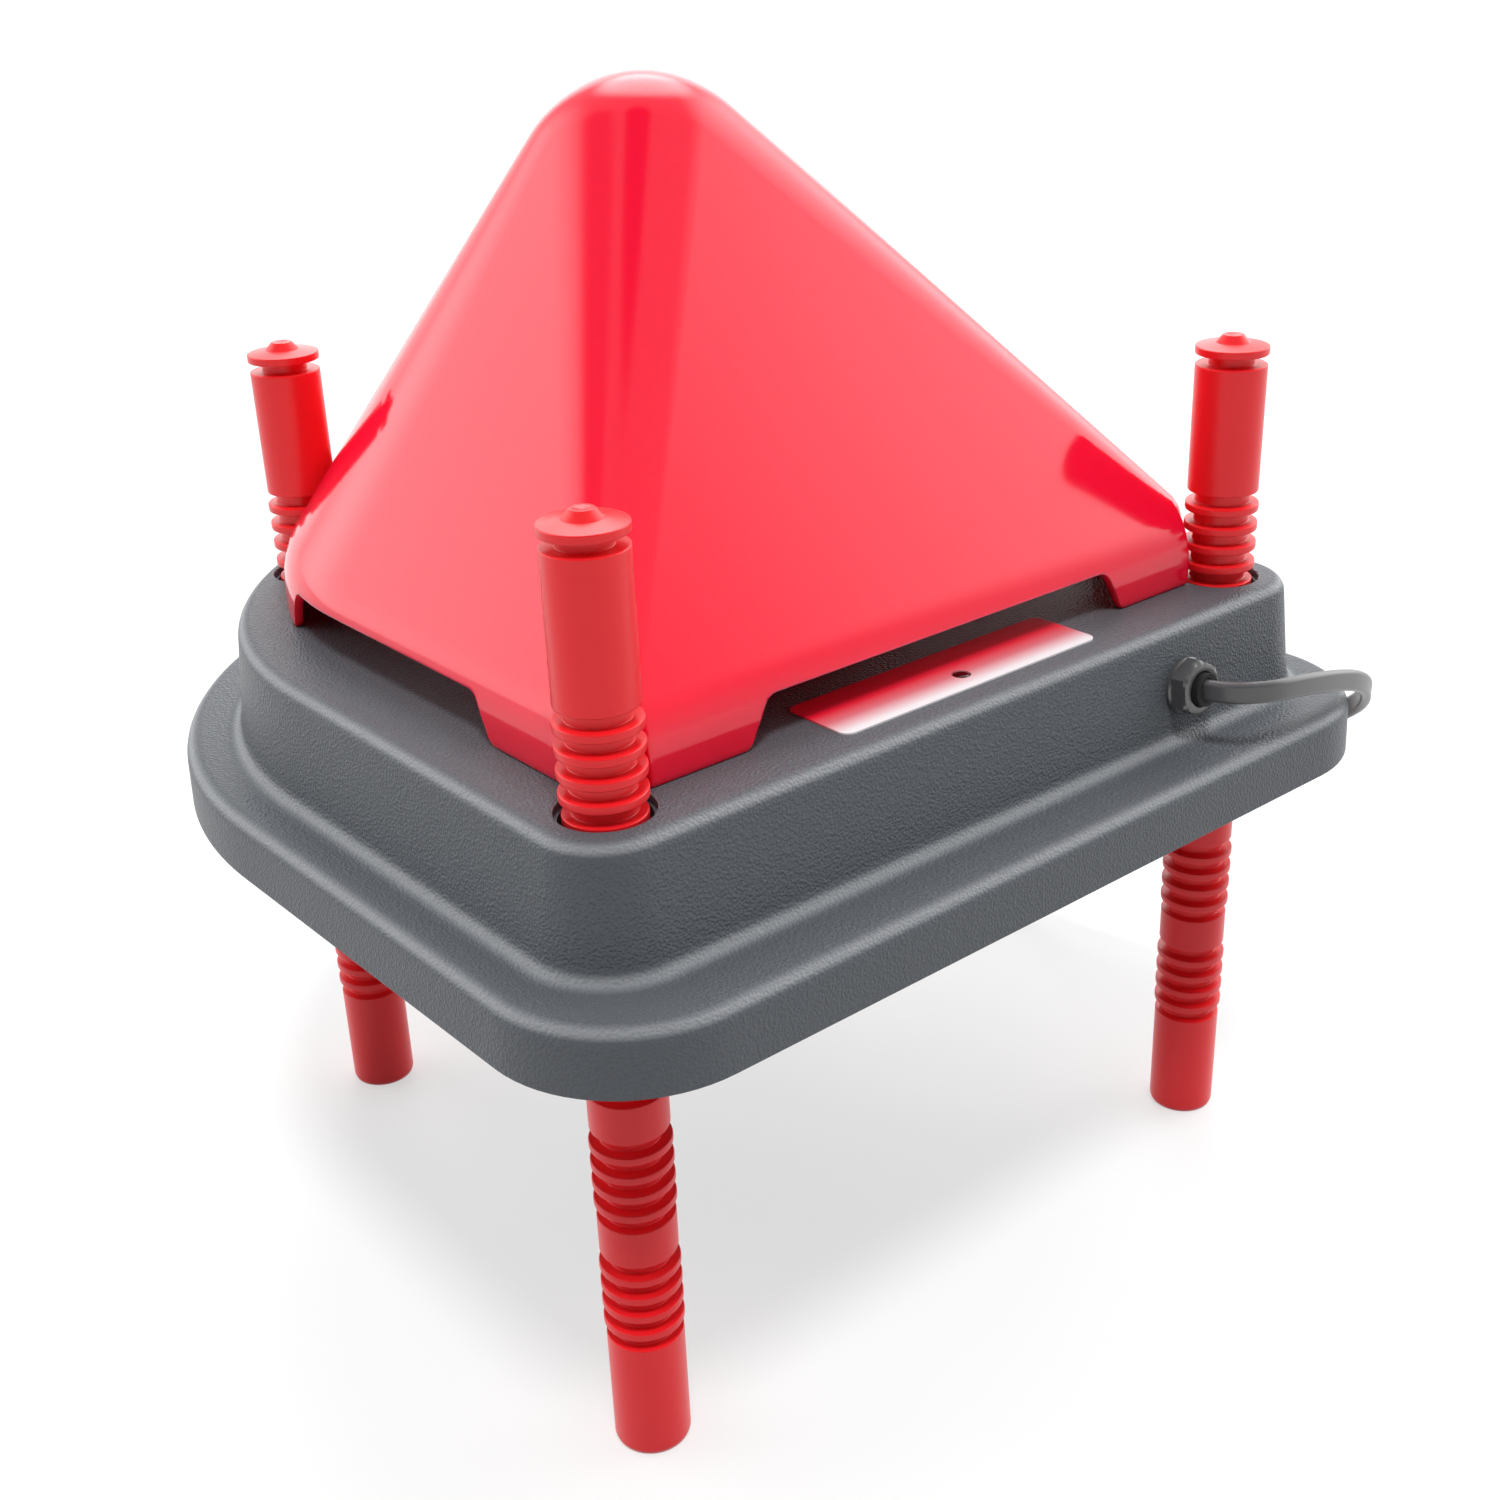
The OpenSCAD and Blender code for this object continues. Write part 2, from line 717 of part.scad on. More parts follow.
// Arch through one foot wall: its width lies along X and it cuts in from the outline along Y
module arch(width) {
  translate([0, arch_cut, plate_top]) rotate([90, 0, 0]) linear_extrude(arch_cut + over) polygon([
    [-width / 2, -over], [-width / 2, 0], [arch_lean - width / 2, arch_h],
    [width / 2 - arch_lean, arch_h], [width / 2, 0], [width / 2, -over]
  ]);
}

module pyramid_cover() {
  color("red") difference() {
    cover_form(0);
    leg_room(cover_leg_r);
    difference() {
      cover_form(cover_t);
      leg_room(cover_leg_r + cover_t);
    }
    translate([0, cover_front_y]) arch(front_arch_w);
    for (side = [-1, 1]) translate([side * cover_half_w, -side_arch_y]) rotate(side * 90) arch(side_arch_w);
    translate([0, round_y + cover_back + cover_half_w]) rotate(180) arch(back_arch_w);
  }
}

module label_plate() {
  color("mistyrose") translate([0, label_y, plate_top]) linear_extrude(label_t) difference() {
    union() {
      square([label_w - 2 * label_r, label_d], center = true);
      square([label_w, label_d - 2 * label_r], center = true);
      for (x = [-1, 1], y = [-1, 1]) {
        translate([x * (label_w / 2 - label_r), y * (label_d / 2 - label_r)]) circle(r = label_r);
      }
    }
    translate([lamp_x, -lamp_ahead]) circle(d = lamp_d + 2 * lens_gap);
  }
}

module lamp_lens() {
  color("darkred") translate([lamp_x, lamp_y, board_top]) difference() {
    union() {
      cylinder(d = lens_flange_d, h = lens_flange_h);
      cylinder(d = lamp_d, h = plate_top + lens_rise - board_top);
    }
    translate([0, 0, -over]) cylinder(d = led_d + 2 * led_gap, h = led_h + led_gap + over);
  }
}

module lamp_board() {
  color("darkgreen") translate([lamp_x, lamp_y, board_top]) {
    translate([-board_w / 2, -board_d / 2, -board_t]) cube([board_w, board_d, board_t]);
    cylinder(d = led_d, h = led_h);
  }
}

module gland_body() {
  hex_d = gland_af / cos(30);
  color("black") on_front_wall() difference() {
    union() {
      translate([0, 0, -gland_reach]) cylinder(d = gland_shank_d, h = gland_reach + gland_washer_h);
      cylinder(d = gland_washer_d, h = gland_washer_h);
      translate([0, 0, gland_washer_h]) rotate(30) cylinder(d = hex_d, h = gland_h, $fn = 6);
    }
    translate([0, 0, -gland_reach - over]) {
      cylinder(d = gland_bore_d, h = gland_reach + gland_washer_h + gland_h + 2 * over);
    }
  }
}

module gland_locknut() {
  color("dimgray") on_front_wall() translate([0, 0, -shell_t - locknut_h]) difference() {
    cylinder(d = gland_af / cos(30), h = locknut_h, $fn = 6);
    translate([0, 0, -over]) cylinder(d = gland_shank_d + 2 * gland_gap, h = locknut_h + 2 * over);
  }
}

module gland_bush() {
  inner_w = cord_w + 2 * cord_gap;
  inner_t = cord_t + 2 * cord_gap;
  length = gland_reach + gland_washer_h + gland_h;
  color("black") on_front_wall() translate([0, 0, -gland_reach]) {
    linear_extrude(length + bush_lip) difference() {
      circle(d = gland_bore_d - 2 * gland_gap);
      square([inner_t, inner_w - inner_t], center = true);
      for (side = [-1, 1]) translate([0, side * (inner_w - inner_t) / 2]) circle(d = inner_t);
    }
  }
}

module terminal_block() {
  color("ivory") translate([gland_x, terminal_y, terminal_low]) difference() {
    translate([-terminal_w / 2, -terminal_d / 2]) cube([terminal_w, terminal_d, terminal_h]);
    for (side = [-1, 1]) translate([side * terminal_bore_x, 0, -over]) {
      cylinder(d = terminal_bore, h = terminal_h / 2 + over);
    }
  }
}

module thermal_cutout() {
  color("gainsboro") translate([cutout_x - cutout_w / 2, track_bus_y - cutout_d / 2, mat_top]) {
    cube([cutout_w, cutout_d, cutout_h]);
  }
}

module cord_cores() {
  color("sienna") for (side = [-1, 1]) wire(
    cord_start + side * core_gap / 2 * [0, sin(lean_angle), cos(lean_angle)],
    -terminal_back / 4 * cord_ahead,
    [gland_x + side * terminal_bore_x, terminal_y - terminal_d / 2, terminal_low + terminal_h / 2],
    [0, -terminal_back / 4, 0]
  );
}

module heater_leads() {
  drop = [0, 0, pad_t / 2];
  color("firebrick") {
    wire(
      [gland_x - terminal_w / 2, terminal_y + wire_d, terminal_low + terminal_h / 3],
      [-terminal_w / 2, 0, 0], [cutout_x, track_bus_y, mat_top + cutout_h], 2 * drop
    );
    wire(
      [gland_x - terminal_w / 2, terminal_y - wire_d, terminal_low + terminal_h / 3],
      [-terminal_w / 4, 0, 0], [bus_end_x, track_bus_y, track_top], 2 * drop
    );
  }
}

module lamp_leads() {
  color("slateblue") for (side = [-1, 1]) wire(
    [lamp_x + board_w / 4, lamp_y + side * board_d / 4, board_top - board_t],
    [0, 0, -board_w / 3],
    [gland_x - terminal_w / 2, terminal_y + side * board_d / 4, tier_ceiling - terminal_h / 4],
    [-terminal_w / 2, 0, 0]
  );
}

module supply_cord() {
  color("dimgray") tube(cord_route, flat_section(cord_sides, cord_w, cord_t));
}

// Middle of the coiled cord, u turns from the place where the spiral reverses
function soft_turn(u) = sqrt(u * u + coil_soft * coil_soft);
function climb(u) = let (s = min(max(2 * u + 0.5, 0), 1)) s * s * (3 - 2 * s);
function coil_point(u) =
  let (
    half = coil_turns / 2,
    a = 360 * (u + half),
    r = coil_r - coil_pitch * (soft_turn(half) - soft_turn(u))
  )
  [coil_middle.x + r * cos(a), coil_middle.y + r * sin(a), coil_low + coil_layer * climb(u)];
coil_path = concat(
  [coil_point(-coil_turns / 2) - [0, cord_w, 0]],
  [for (i = [0:coil_steps]) coil_point(i / coil_rings - coil_turns / 2)],
  [coil_point(coil_turns / 2) - [cord_w, 0, 0]]
);

module cord_coil() {
  section = flat_section(coil_sides, cord_w, cord_t);
  up = [0, 0, 1];
  rings = [for (i = [0:len(coil_path) - 1]) tube_ring(coil_path, i, section, up, 0)];
  near = 2 * cord_w;
  gaps = [
    for (i = [0:len(rings) - 1], j = [i + coil_rings / 2:len(rings) - 1])
      if (norm(coil_path[i] - coil_path[j]) < near)
        min([for (p = rings[i], q = rings[j]) norm(p - q)])
  ];
  echo(least_gap_in_coil_mm = min(gaps));
  color("dimgray") tube(coil_path, section);
}

// Strap round the turns at one place of the coil
module cord_tie() {
  reach = coil_pitch * soft_turn(coil_turns / 2);
  inner = coil_r - reach - cord_t / 2 - tie_room;
  width = reach + cord_t + 2 * tie_room;
  low = coil_low - cord_w / 2 - tie_room;
  height = coil_layer + cord_w + 2 * tie_room;
  color("black") translate([coil_middle.x, coil_middle.y, low]) rotate(tie_angle) difference() {
    translate([inner - tie_t, -tie_w / 2, -tie_t]) cube([width + 2 * tie_t, tie_w, height + 2 * tie_t]);
    translate([inner, -tie_w / 2 - over, 0]) cube([width, tie_w + 2 * over, height]);
  }
}

module cord_tail() {
  color("dimgray") tube(tail_route, flat_section(cord_sides, cord_w, cord_t), twist = tail_twist);
}

// Plug: it points to the left of the tail, flat on the floor
module on_plug() {
  translate(plug_place) rotate([0, -90, 0]) children();
}

module plug_body() {
  color("dimgray") on_plug() {
    rotate_extrude() polygon([
      [0, 0], [relief_tip_d / 2, 0], [relief_d / 2, relief_len], [0, relief_len]
    ]);
    difference() {
      translate([0, 0, relief_len]) hull() {
        plug_slice(plug_neck_w, plug_edge);
        translate([0, 0, plug_len / 2]) plug_slice(plug_w, plug_edge);
        translate([0, 0, plug_len]) plug_slice(plug_w, plug_edge);
      }
      for (side = [-1, 1]) translate([0, side * pin_gap / 2, relief_len + plug_len - pin_root]) {
        cylinder(d = pin_root_d + 2 * pin_play, h = pin_root + over);
      }
    }
  }
}

// Thin slice of the plug's body with half-round ends, its upper face at zero
module plug_slice(width, edge) {
  translate([0, 0, -skin]) linear_extrude(skin) {
    square([plug_t - 2 * edge, width], center = true);
    square([plug_t, width - 2 * edge], center = true);
    for (x = [-1, 1], y = [-1, 1]) {
      translate([x * (plug_t / 2 - edge), y * (width / 2 - edge)]) circle(r = edge, $fn = 32);
    }
  }
}

module plug_pins() {
  color("silver") on_plug() for (side = [-1, 1]) {
    translate([0, side * pin_gap / 2, relief_len + plug_len - pin_root]) rotate_extrude() polygon([
      [0, 0], [pin_root_d / 2, 0], [pin_root_d / 2, pin_root], [pin_d / 2, pin_root],
      [pin_d / 2, pin_root + pin_len - pin_d / 2], [pin_d / 4, pin_root + pin_len], [0, pin_root + pin_len]
    ]);
  }
}

top_housing();
base_plate();
edge_seal();
base_screws();
heating_mat();
heating_track();
insulation_pad();
guide_front_left();
guide_front_right();
guide_back_left();
guide_back_right();
grip_rings();
leg_front_left();
leg_front_right();
leg_back_left();
leg_back_right();
pyramid_cover();
label_plate();
lamp_lens();
lamp_board();
gland_body();
gland_locknut();
gland_bush();
terminal_block();
thermal_cutout();
cord_cores();
heater_leads();
lamp_leads();
supply_cord();
cord_coil();
cord_tie();
cord_tail();
plug_body();
plug_pins();
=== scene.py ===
"""Looks of the brooder heating plate: smooth shells, grooved legs, flat cord and finishes.

Lengths are metres in the part's own frame: +Z up, the label side faces -Y.
"""

import math

import bmesh
import bpy
from mathutils import Matrix, Vector


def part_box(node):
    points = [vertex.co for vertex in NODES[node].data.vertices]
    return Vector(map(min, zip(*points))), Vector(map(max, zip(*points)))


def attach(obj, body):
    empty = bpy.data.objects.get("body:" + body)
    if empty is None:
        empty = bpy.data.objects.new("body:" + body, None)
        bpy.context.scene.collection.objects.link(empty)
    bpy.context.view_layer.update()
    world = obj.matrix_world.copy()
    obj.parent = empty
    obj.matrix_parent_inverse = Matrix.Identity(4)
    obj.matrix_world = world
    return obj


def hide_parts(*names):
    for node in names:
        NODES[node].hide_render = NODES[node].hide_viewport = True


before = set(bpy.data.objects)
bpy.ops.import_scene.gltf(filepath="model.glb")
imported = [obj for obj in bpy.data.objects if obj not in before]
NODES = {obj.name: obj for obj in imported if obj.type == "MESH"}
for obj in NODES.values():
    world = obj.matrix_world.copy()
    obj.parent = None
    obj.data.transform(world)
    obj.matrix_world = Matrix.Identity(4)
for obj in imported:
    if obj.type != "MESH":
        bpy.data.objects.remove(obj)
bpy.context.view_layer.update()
MM = 0.001

# Sizes of the plate, from the frame
HOUSING_LOW, HOUSING_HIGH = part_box("top_housing")
HALF_W = HOUSING_HIGH.x
FRONT_Y = HOUSING_LOW.y
FLANGE_BACK = 3.7 * MM
FLANGE_ROUND_Y = HOUSING_HIGH.y - HALF_W
ROUND_Y = FLANGE_ROUND_Y - FLANGE_BACK
RIDE_Z = HOUSING_LOW.z
PLATE_TOP = HOUSING_HIGH.z
BASE_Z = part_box("base_plate")[0].z
SHELL_T = 2.5 * MM
FLANGE_H = 18 * MM
FLANGE_TOP = RIDE_Z + FLANGE_H
TIER_H = PLATE_TOP - FLANGE_TOP
FLANGE_CORNER_R = 39 * MM
FLANGE_LEAN = 0.6 * MM
FLANGE_EDGE_R = 5 * MM
TIER_INSET = 19 * MM
TIER_FRONT_EXTRA = 5 * MM
TIER_CORNER_R = 18 * MM
TIER_LEAN = 3.5 * MM
TIER_EDGE_R = 4 * MM
FILLET_R = 5 * MM
LIP_R = 0.6 * MM
LIP_STEPS = 3
EDGE_STEPS = 8

# Sizes of the cover, from the frame
COVER_LOW, COVER_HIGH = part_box("pyramid_cover")
COVER_HALF_W = COVER_HIGH.x
COVER_FRONT_Y = COVER_LOW.y
COVER_ROUND_Y = COVER_HIGH.y - COVER_HALF_W
COVER_CORNER_R = 10 * MM
COVER_FOOT_H = 14.3 * MM
ARCH_H = 12.6 * MM
COVER_T = 2.5 * MM
PEAK_R = 37.4 * MM
PEAK_BACK = 6 * MM
PEAK_Y = ROUND_Y + PEAK_BACK
COVER_H = 145 * MM
PEAK_Z = PLATE_TOP + COVER_H - PEAK_R
ARCH_LEAN = 6 * MM
FRONT_ARCH_W = 137 * MM
SIDE_ARCH_LOW = -65 * MM
SIDE_ARCH_HIGH = 45.6 * MM
BACK_ARCH_W = 78 * MM

# Leg profile
LEG_D = 20.4 * MM
RIB_D = 21.2 * MM
GROOVE_D = 15.8 * MM
GROOVE_W = 3.6 * MM
RIB_W = 2.2 * MM
GROOVE_COUNT = 5
GROUP_COUNT = 5
BAND_H = 10.9 * MM
FOOT_H = 35.6 * MM
SHOULDER_H = 36.7 * MM
NECK_H = 3 * MM
NECK_D = 13 * MM
CAP_H = 2.2 * MM
CAP_D = 20.8 * MM
NUB_H = 3.1 * MM
NUB_D = 9.8 * MM
LEG_HOLE_D = 24 * MM
LEGS = ("front_left", "front_right", "back_left", "back_right")


def middle(node):
    """Middle of a node's box in plan."""
    low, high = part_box(node)
    return Vector(((low.x + high.x) / 2, (low.y + high.y) / 2, 0))


LEG_PLACES = {name: middle("leg_" + name) for name in LEGS}


# Mesh helpers

def piece(name, verts, faces, material, smooth=True):
    """New mesh object from points and faces."""
    mesh = bpy.data.meshes.new(name)
    mesh.from_pydata([tuple(v) for v in verts], [], faces)
    mesh.validate()
    mesh.materials.append(material)
    obj = bpy.data.objects.new(name, mesh)
    bpy.context.scene.collection.objects.link(obj)
    if smooth:
        mesh.polygons.foreach_set("use_smooth", [True] * len(mesh.polygons))
    return obj


def loft(rings, cap_start=False, cap_end=False):
    """Points and faces of a skin through closed rings of equal length."""
    count = len(rings[0])
    verts = [v for ring in rings for v in ring]
    faces = []
    for i in range(len(rings) - 1):
        for k in range(count):
            a = i * count + k
            b = i * count + (k + 1) % count
            faces.append((a, b, b + count, a + count))
    if cap_start:
        faces.append(tuple(reversed(range(count))))
    if cap_end:
        faces.append(tuple(range((len(rings) - 1) * count, len(rings) * count)))
    return verts, faces


POLE_R = 0.02 * MM


def lathe(profile, segments, spot=Vector((0, 0, 0))):
    """Closed skin of a profile of (radius, height) turned about the vertical through a spot."""
    rings = []
    for r, z in profile:
        reach = max(r, POLE_R)
        ring = []
        for k in range(segments):
            a = 2 * math.pi * k / segments
            ring.append(spot + Vector((reach * math.cos(a), reach * math.sin(a), z)))
        rings.append(ring)
    return loft(rings, cap_start=True, cap_end=True)


# Most of a side that the rounding of one corner may take
ROUND_SHARE = 0.49


def rounded(points, steps=3):
    """Profile with each corner (x, y, radius) turned into an arc."""
    out = []
    for i, (x, y, r) in enumerate(points):
        if r == 0 or i in (0, len(points) - 1):
            out.append((x, y))
            continue
        here = Vector((x, y))
        back = Vector(points[i - 1][:2]) - here
        ahead = Vector(points[i + 1][:2]) - here
        turn = back.angle(ahead)
        trim = min(r / math.tan(turn / 2), ROUND_SHARE * back.length, ROUND_SHARE * ahead.length)
        start = here + back.normalized() * trim
        end = here + ahead.normalized() * trim
        for k in range(steps + 1):
            t = k / steps
            point = (1 - t) ** 2 * start + 2 * t * (1 - t) * here + t * t * end
            out.append((point.x, point.y))
    return out


WELD_REACH = 0.001 * MM


def weld(obj, reach=WELD_REACH):
    """Joins coincident points and drops the faces that vanish with them."""
    mesh = bmesh.new()
    mesh.from_mesh(obj.data)
    bmesh.ops.remove_doubles(mesh, verts=mesh.verts, dist=reach)
    bmesh.ops.dissolve_degenerate(mesh, edges=mesh.edges, dist=reach)
    bmesh.ops.recalc_face_normals(mesh, faces=mesh.faces)
    mesh.to_mesh(obj.data)
    mesh.free()


def crisp(obj, angle=35):
    """Smooth shading that keeps edges sharper than the angle, with flat faces kept flat."""
    mesh = bmesh.new()
    mesh.from_mesh(obj.data)
    limit = math.radians(angle)
    for edge in mesh.edges:
        edge.smooth = len(edge.link_faces) == 2 and edge.calc_face_angle(0) < limit
    for face in mesh.faces:
        face.smooth = True
    mesh.to_mesh(obj.data)
    mesh.free()
    normals = obj.modifiers.new("flat faces stay flat", "WEIGHTED_NORMAL")
    normals.keep_sharp = True


def cut(obj, cutter):
    """Subtracts the cutter from the object and removes the cutter."""
    boolean = obj.modifiers.new("cut", "BOOLEAN")
    boolean.operation = "DIFFERENCE"
    boolean.solver = "EXACT"
    boolean.object = cutter
    bpy.context.view_layer.update()
    graph = bpy.context.evaluated_depsgraph_get()
    result = bpy.data.meshes.new_from_object(obj.evaluated_get(graph))
    obj.modifiers.remove(boolean)
    obj.data = result
    bpy.data.objects.remove(cutter)


def join(name, parts, material):
    """One object from several lists of points and faces."""
    verts, faces = [], []
    for part_verts, part_faces in parts:
        start = len(verts)
        verts.extend(part_verts)
        faces.extend(tuple(start + k for k in face) for face in part_faces)
    return piece(name, verts, faces, material)


def moved(part, matrix):
    """A list of points and faces, carried by a matrix."""
    verts, faces = part
    return [matrix @ Vector(v) for v in verts], faces


# Outline of the plate: straight front, two corners, straight sides, round back

FRONT_STEPS = 40
CORNER_STEPS = 18
SIDE_STEPS = 28
BACK_STEPS = 112


def dee(half, low, corner_r, round_y):
    """Points (x, y) and outward angles round a D, from the left end of its straight front."""
    def line(a, b, steps, angle):
        across, along = b[0] - a[0], b[1] - a[1]
        return [(a[0] + across * k / steps, a[1] + along * k / steps, angle) for k in range(steps)]

    def arc(x, y, r, start, turn, steps):
        angles = [math.radians(start + turn * k / steps) for k in range(steps)]
        return [(x + r * math.cos(a), y + r * math.sin(a), a) for a in angles]

    inner = half - corner_r
    rise = low + corner_r
    return (
        line((-inner, low), (inner, low), FRONT_STEPS, math.radians(270))
        + arc(inner, rise, corner_r, 270, 90, CORNER_STEPS)
        + line((half, rise), (half, round_y), SIDE_STEPS, 0.0)
        + arc(0, round_y, half, 0, 180, BACK_STEPS)
        + line((-half, round_y), (-half, rise), SIDE_STEPS, math.radians(180))
        + arc(-inner, rise, corner_r, 180, 90, CORNER_STEPS)
    )


def plate_ring(inset, front_extra, corner_r, round_y, z):
    """Closed ring of the plate's outline, set in from the flange's edge."""
    outline = dee(HALF_W - inset, FRONT_Y + inset + front_extra, corner_r, round_y)
    return [Vector((x, y, z)) for x, y, _ in outline]


def flange_ring(inset, z):
    """Ring of the flange, set in from its edge."""
    return plate_ring(inset, 0, FLANGE_CORNER_R - inset, FLANGE_ROUND_Y, z)


def tier_ring(inset, z):
    """Ring of the tier, set in from the tier's own upper edge."""
    return plate_ring(TIER_INSET + inset, TIER_FRONT_EXTRA, TIER_CORNER_R - inset, ROUND_Y, z)


def tier_wall(z):
    """Inset of the leaning tier wall at a height."""
    return -TIER_LEAN * (PLATE_TOP - z) / TIER_H


def quarter(steps):
    """Angles of a quarter turn, both ends included."""
    return [math.pi / 2 * k / steps for k in range(steps + 1)]


# Finishes

def shader(name):
    """New material and its main shader."""
    material = bpy.data.materials.new(name)
    material.use_nodes = True
    return material, material.node_tree.nodes["Principled BSDF"]


def plain(name, colour, roughness, metallic=0.0, coat=0.0, specular=0.5):
    """Even finish of one colour."""
    material, main = shader(name)
    main.inputs["Specular IOR Level"].default_value = specular
    main.inputs["Base Color"].default_value = (*colour, 1)
    main.inputs["Roughness"].default_value = roughness
    main.inputs["Metallic"].default_value = metallic
    main.inputs["Coat Weight"].default_value = coat
    material.diffuse_color = (*colour, 1)
    return material


def noise(material, scale, detail):
    """Noise in the part's own coordinates."""
    nodes = material.node_tree.nodes
    coords = nodes.new("ShaderNodeTexCoord")
    texture = nodes.new("ShaderNodeTexNoise")
    texture.inputs["Scale"].default_value = scale
    texture.inputs["Detail"].default_value = detail
    material.node_tree.links.new(coords.outputs["Object"], texture.inputs["Vector"])
    return texture


def bump(material, texture, height, output="Fac"):
    """Relief of the given height from a texture."""
    tree = material.node_tree
    relief = tree.nodes.new("ShaderNodeBump")
    relief.inputs["Strength"].default_value = 1.0
    relief.inputs["Distance"].default_value = height
    tree.links.new(texture.outputs[output], relief.inputs["Height"])
    tree.links.new(relief.outputs["Normal"], tree.nodes["Principled BSDF"].inputs["Normal"])


def ramp(material, source, output, target, stops):
    """Colour ramp from a texture's output to a socket of the main shader."""
    tree = material.node_tree
    colours = tree.nodes.new("ShaderNodeValToRGB")
    while len(colours.color_ramp.elements) < len(stops):
        colours.color_ramp.elements.new(0.5)
    for element, (position, colour) in zip(colours.color_ramp.elements, stops):
        element.position = position
        element.color = (*colour, 1)
    tree.links.new(source.outputs[output], colours.inputs["Fac"])
    tree.links.new(colours.outputs["Color"], tree.nodes["Principled BSDF"].inputs[target])


PEBBLE_SMOOTHNESS = 0.6


def grained(name, colour, roughness, cell, height, specular=0.5):
    """Moulded plastic with a pebble grain."""
    material = plain(name, colour, roughness, specular=specular)
    nodes = material.node_tree.nodes
    coords = nodes.new("ShaderNodeTexCoord")
    pebbles = nodes.new("ShaderNodeTexVoronoi")
    pebbles.feature = "SMOOTH_F1"
    pebbles.inputs["Scale"].default_value = 1 / cell
    pebbles.inputs["Smoothness"].default_value = PEBBLE_SMOOTHNESS
    material.node_tree.links.new(coords.outputs["Object"], pebbles.inputs["Vector"])
    bump(material, pebbles, height, "Distance")
    return material


# Rise of the surface where the painted edge highlight begins, is full, and fades and ends again
EDGE_HIGHLIGHT_RISE = (0.38, 0.62, 0.78, 0.96)


def painted_edge_highlight(material, colour, highlight_colour):
    """Painted highlight: rounded edges and fillets made paler than the walls and tops between them, by the
    rise of their surface.
    """
    nodes = material.node_tree.nodes
    coords = nodes.new("ShaderNodeTexCoord")
    split = nodes.new("ShaderNodeSeparateXYZ")
    material.node_tree.links.new(coords.outputs["Normal"], split.inputs["Vector"])
    ramp(material, split, "Z", "Base Color", tuple(zip(EDGE_HIGHLIGHT_RISE, (colour, highlight_colour, highlight_colour, colour))))


MOTTLE_DETAIL = 4.0
MOTTLE_RANGE = (0.3, 0.7)


def mottled(name, dark, light, scale, roughness, height):
    """Finish whose colour and relief vary with a fine noise."""
    material = plain(name, light, roughness)
    texture = noise(material, scale, MOTTLE_DETAIL)
    ramp(material, texture, "Fac", "Base Color", tuple(zip(MOTTLE_RANGE, (dark, light))))
    bump(material, texture, height)
    return material


WHITE_INK = (0.8, 0.78, 0.8)
PINK_INK = (0.8, 0.2, 0.24)
RED_INK = (0.9, 0.012, 0.04)
LABEL_STOPS = ((0.0, WHITE_INK), (0.08, WHITE_INK), (0.36, PINK_INK), (0.6, RED_INK))
LABEL_ROUGHNESS = 0.35


def label_film():
    """Bare label: red along its back edge, fading to white along its front edge."""
    material, main = shader("label_film")
    main.inputs["Roughness"].default_value = LABEL_ROUGHNESS
    low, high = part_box("label_plate")
    tree = material.node_tree
    coords = tree.nodes.new("ShaderNodeTexCoord")
    split = tree.nodes.new("ShaderNodeSeparateXYZ")
    share = tree.nodes.new("ShaderNodeMapRange")
    share.inputs["From Min"].default_value = low.y
    share.inputs["From Max"].default_value = high.y
    tree.links.new(coords.outputs["Object"], split.inputs["Vector"])
    tree.links.new(split.outputs["Y"], share.inputs["Value"])
    ramp(material, share, "Result", "Base Color", LABEL_STOPS)
    return material


# How far each colour travels inside the cover, as shares of its depth
COVER_REACH = (1.0, 0.1, 0.1)


def translucent(name, colour, roughness, weight, depth):
    """Glossy plastic that lets some light through, most of it red."""
    material = plain(name, colour, roughness)
    main = material.node_tree.nodes["Principled BSDF"]
    main.inputs["Subsurface Weight"].default_value = weight
    main.inputs["Subsurface Radius"].default_value = COVER_REACH
    main.inputs["Subsurface Scale"].default_value = depth
    return material


HOUSING_GREY = (0.096, 0.104, 0.116)
# Colour of the painted highlight on the housing's rounded edges and fillets
HOUSING_EDGE_HIGHLIGHT = (0.23, 0.24, 0.255)
HOUSING = grained("housing_plastic", HOUSING_GREY, 0.4, 0.75 * MM, 0.3 * MM, 0.2)
# Painted highlight along the housing's rounded edges and fillets
painted_edge_highlight(HOUSING, HOUSING_GREY, HOUSING_EDGE_HIGHLIGHT)
COVER = translucent("cover_plastic", (0.92, 0.005, 0.036), 0.1, 0.6, 5 * MM)
LEG = plain("leg_plastic", (0.84, 0.014, 0.02), 0.32, specular=0.4)
BASE = grained("base_plastic", (0.03, 0.033, 0.037), 0.5, 1.6 * MM, 0.12 * MM)
SEAL = plain("seal_rubber", (0.012, 0.012, 0.013), 0.75)
STEEL = plain("screw_steel", (0.55, 0.55, 0.56), 0.3, metallic=1.0)
MAT = mottled("mat_silicone", (0.45, 0.14, 0.05), (0.55, 0.2, 0.08), 900.0, 0.55, 0.05 * MM)
TRACK = plain("track_metal", (0.42, 0.4, 0.38), 0.4, metallic=1.0)
WOOL = mottled("insulation_wool", (0.5, 0.4, 0.2), (0.75, 0.66, 0.42), 700.0, 0.95, 0.5 * MM)
GUIDE = plain("guide_plastic", (0.09, 0.1, 0.11), 0.45)
LABEL = label_film()
LENS = plain("lamp_plastic", (0.05, 0.003, 0.006), 0.15, coat=0.6)
BOARD = plain("circuit_board", (0.01, 0.09, 0.03), 0.4)
GLAND = plain("gland_plastic", (0.08, 0.08, 0.083), 0.22, specular=0.8)
TERMINAL = plain("terminal_plastic", (0.75, 0.73, 0.66), 0.4)
CUTOUT = plain("cutout_case", (0.6, 0.6, 0.6), 0.35)
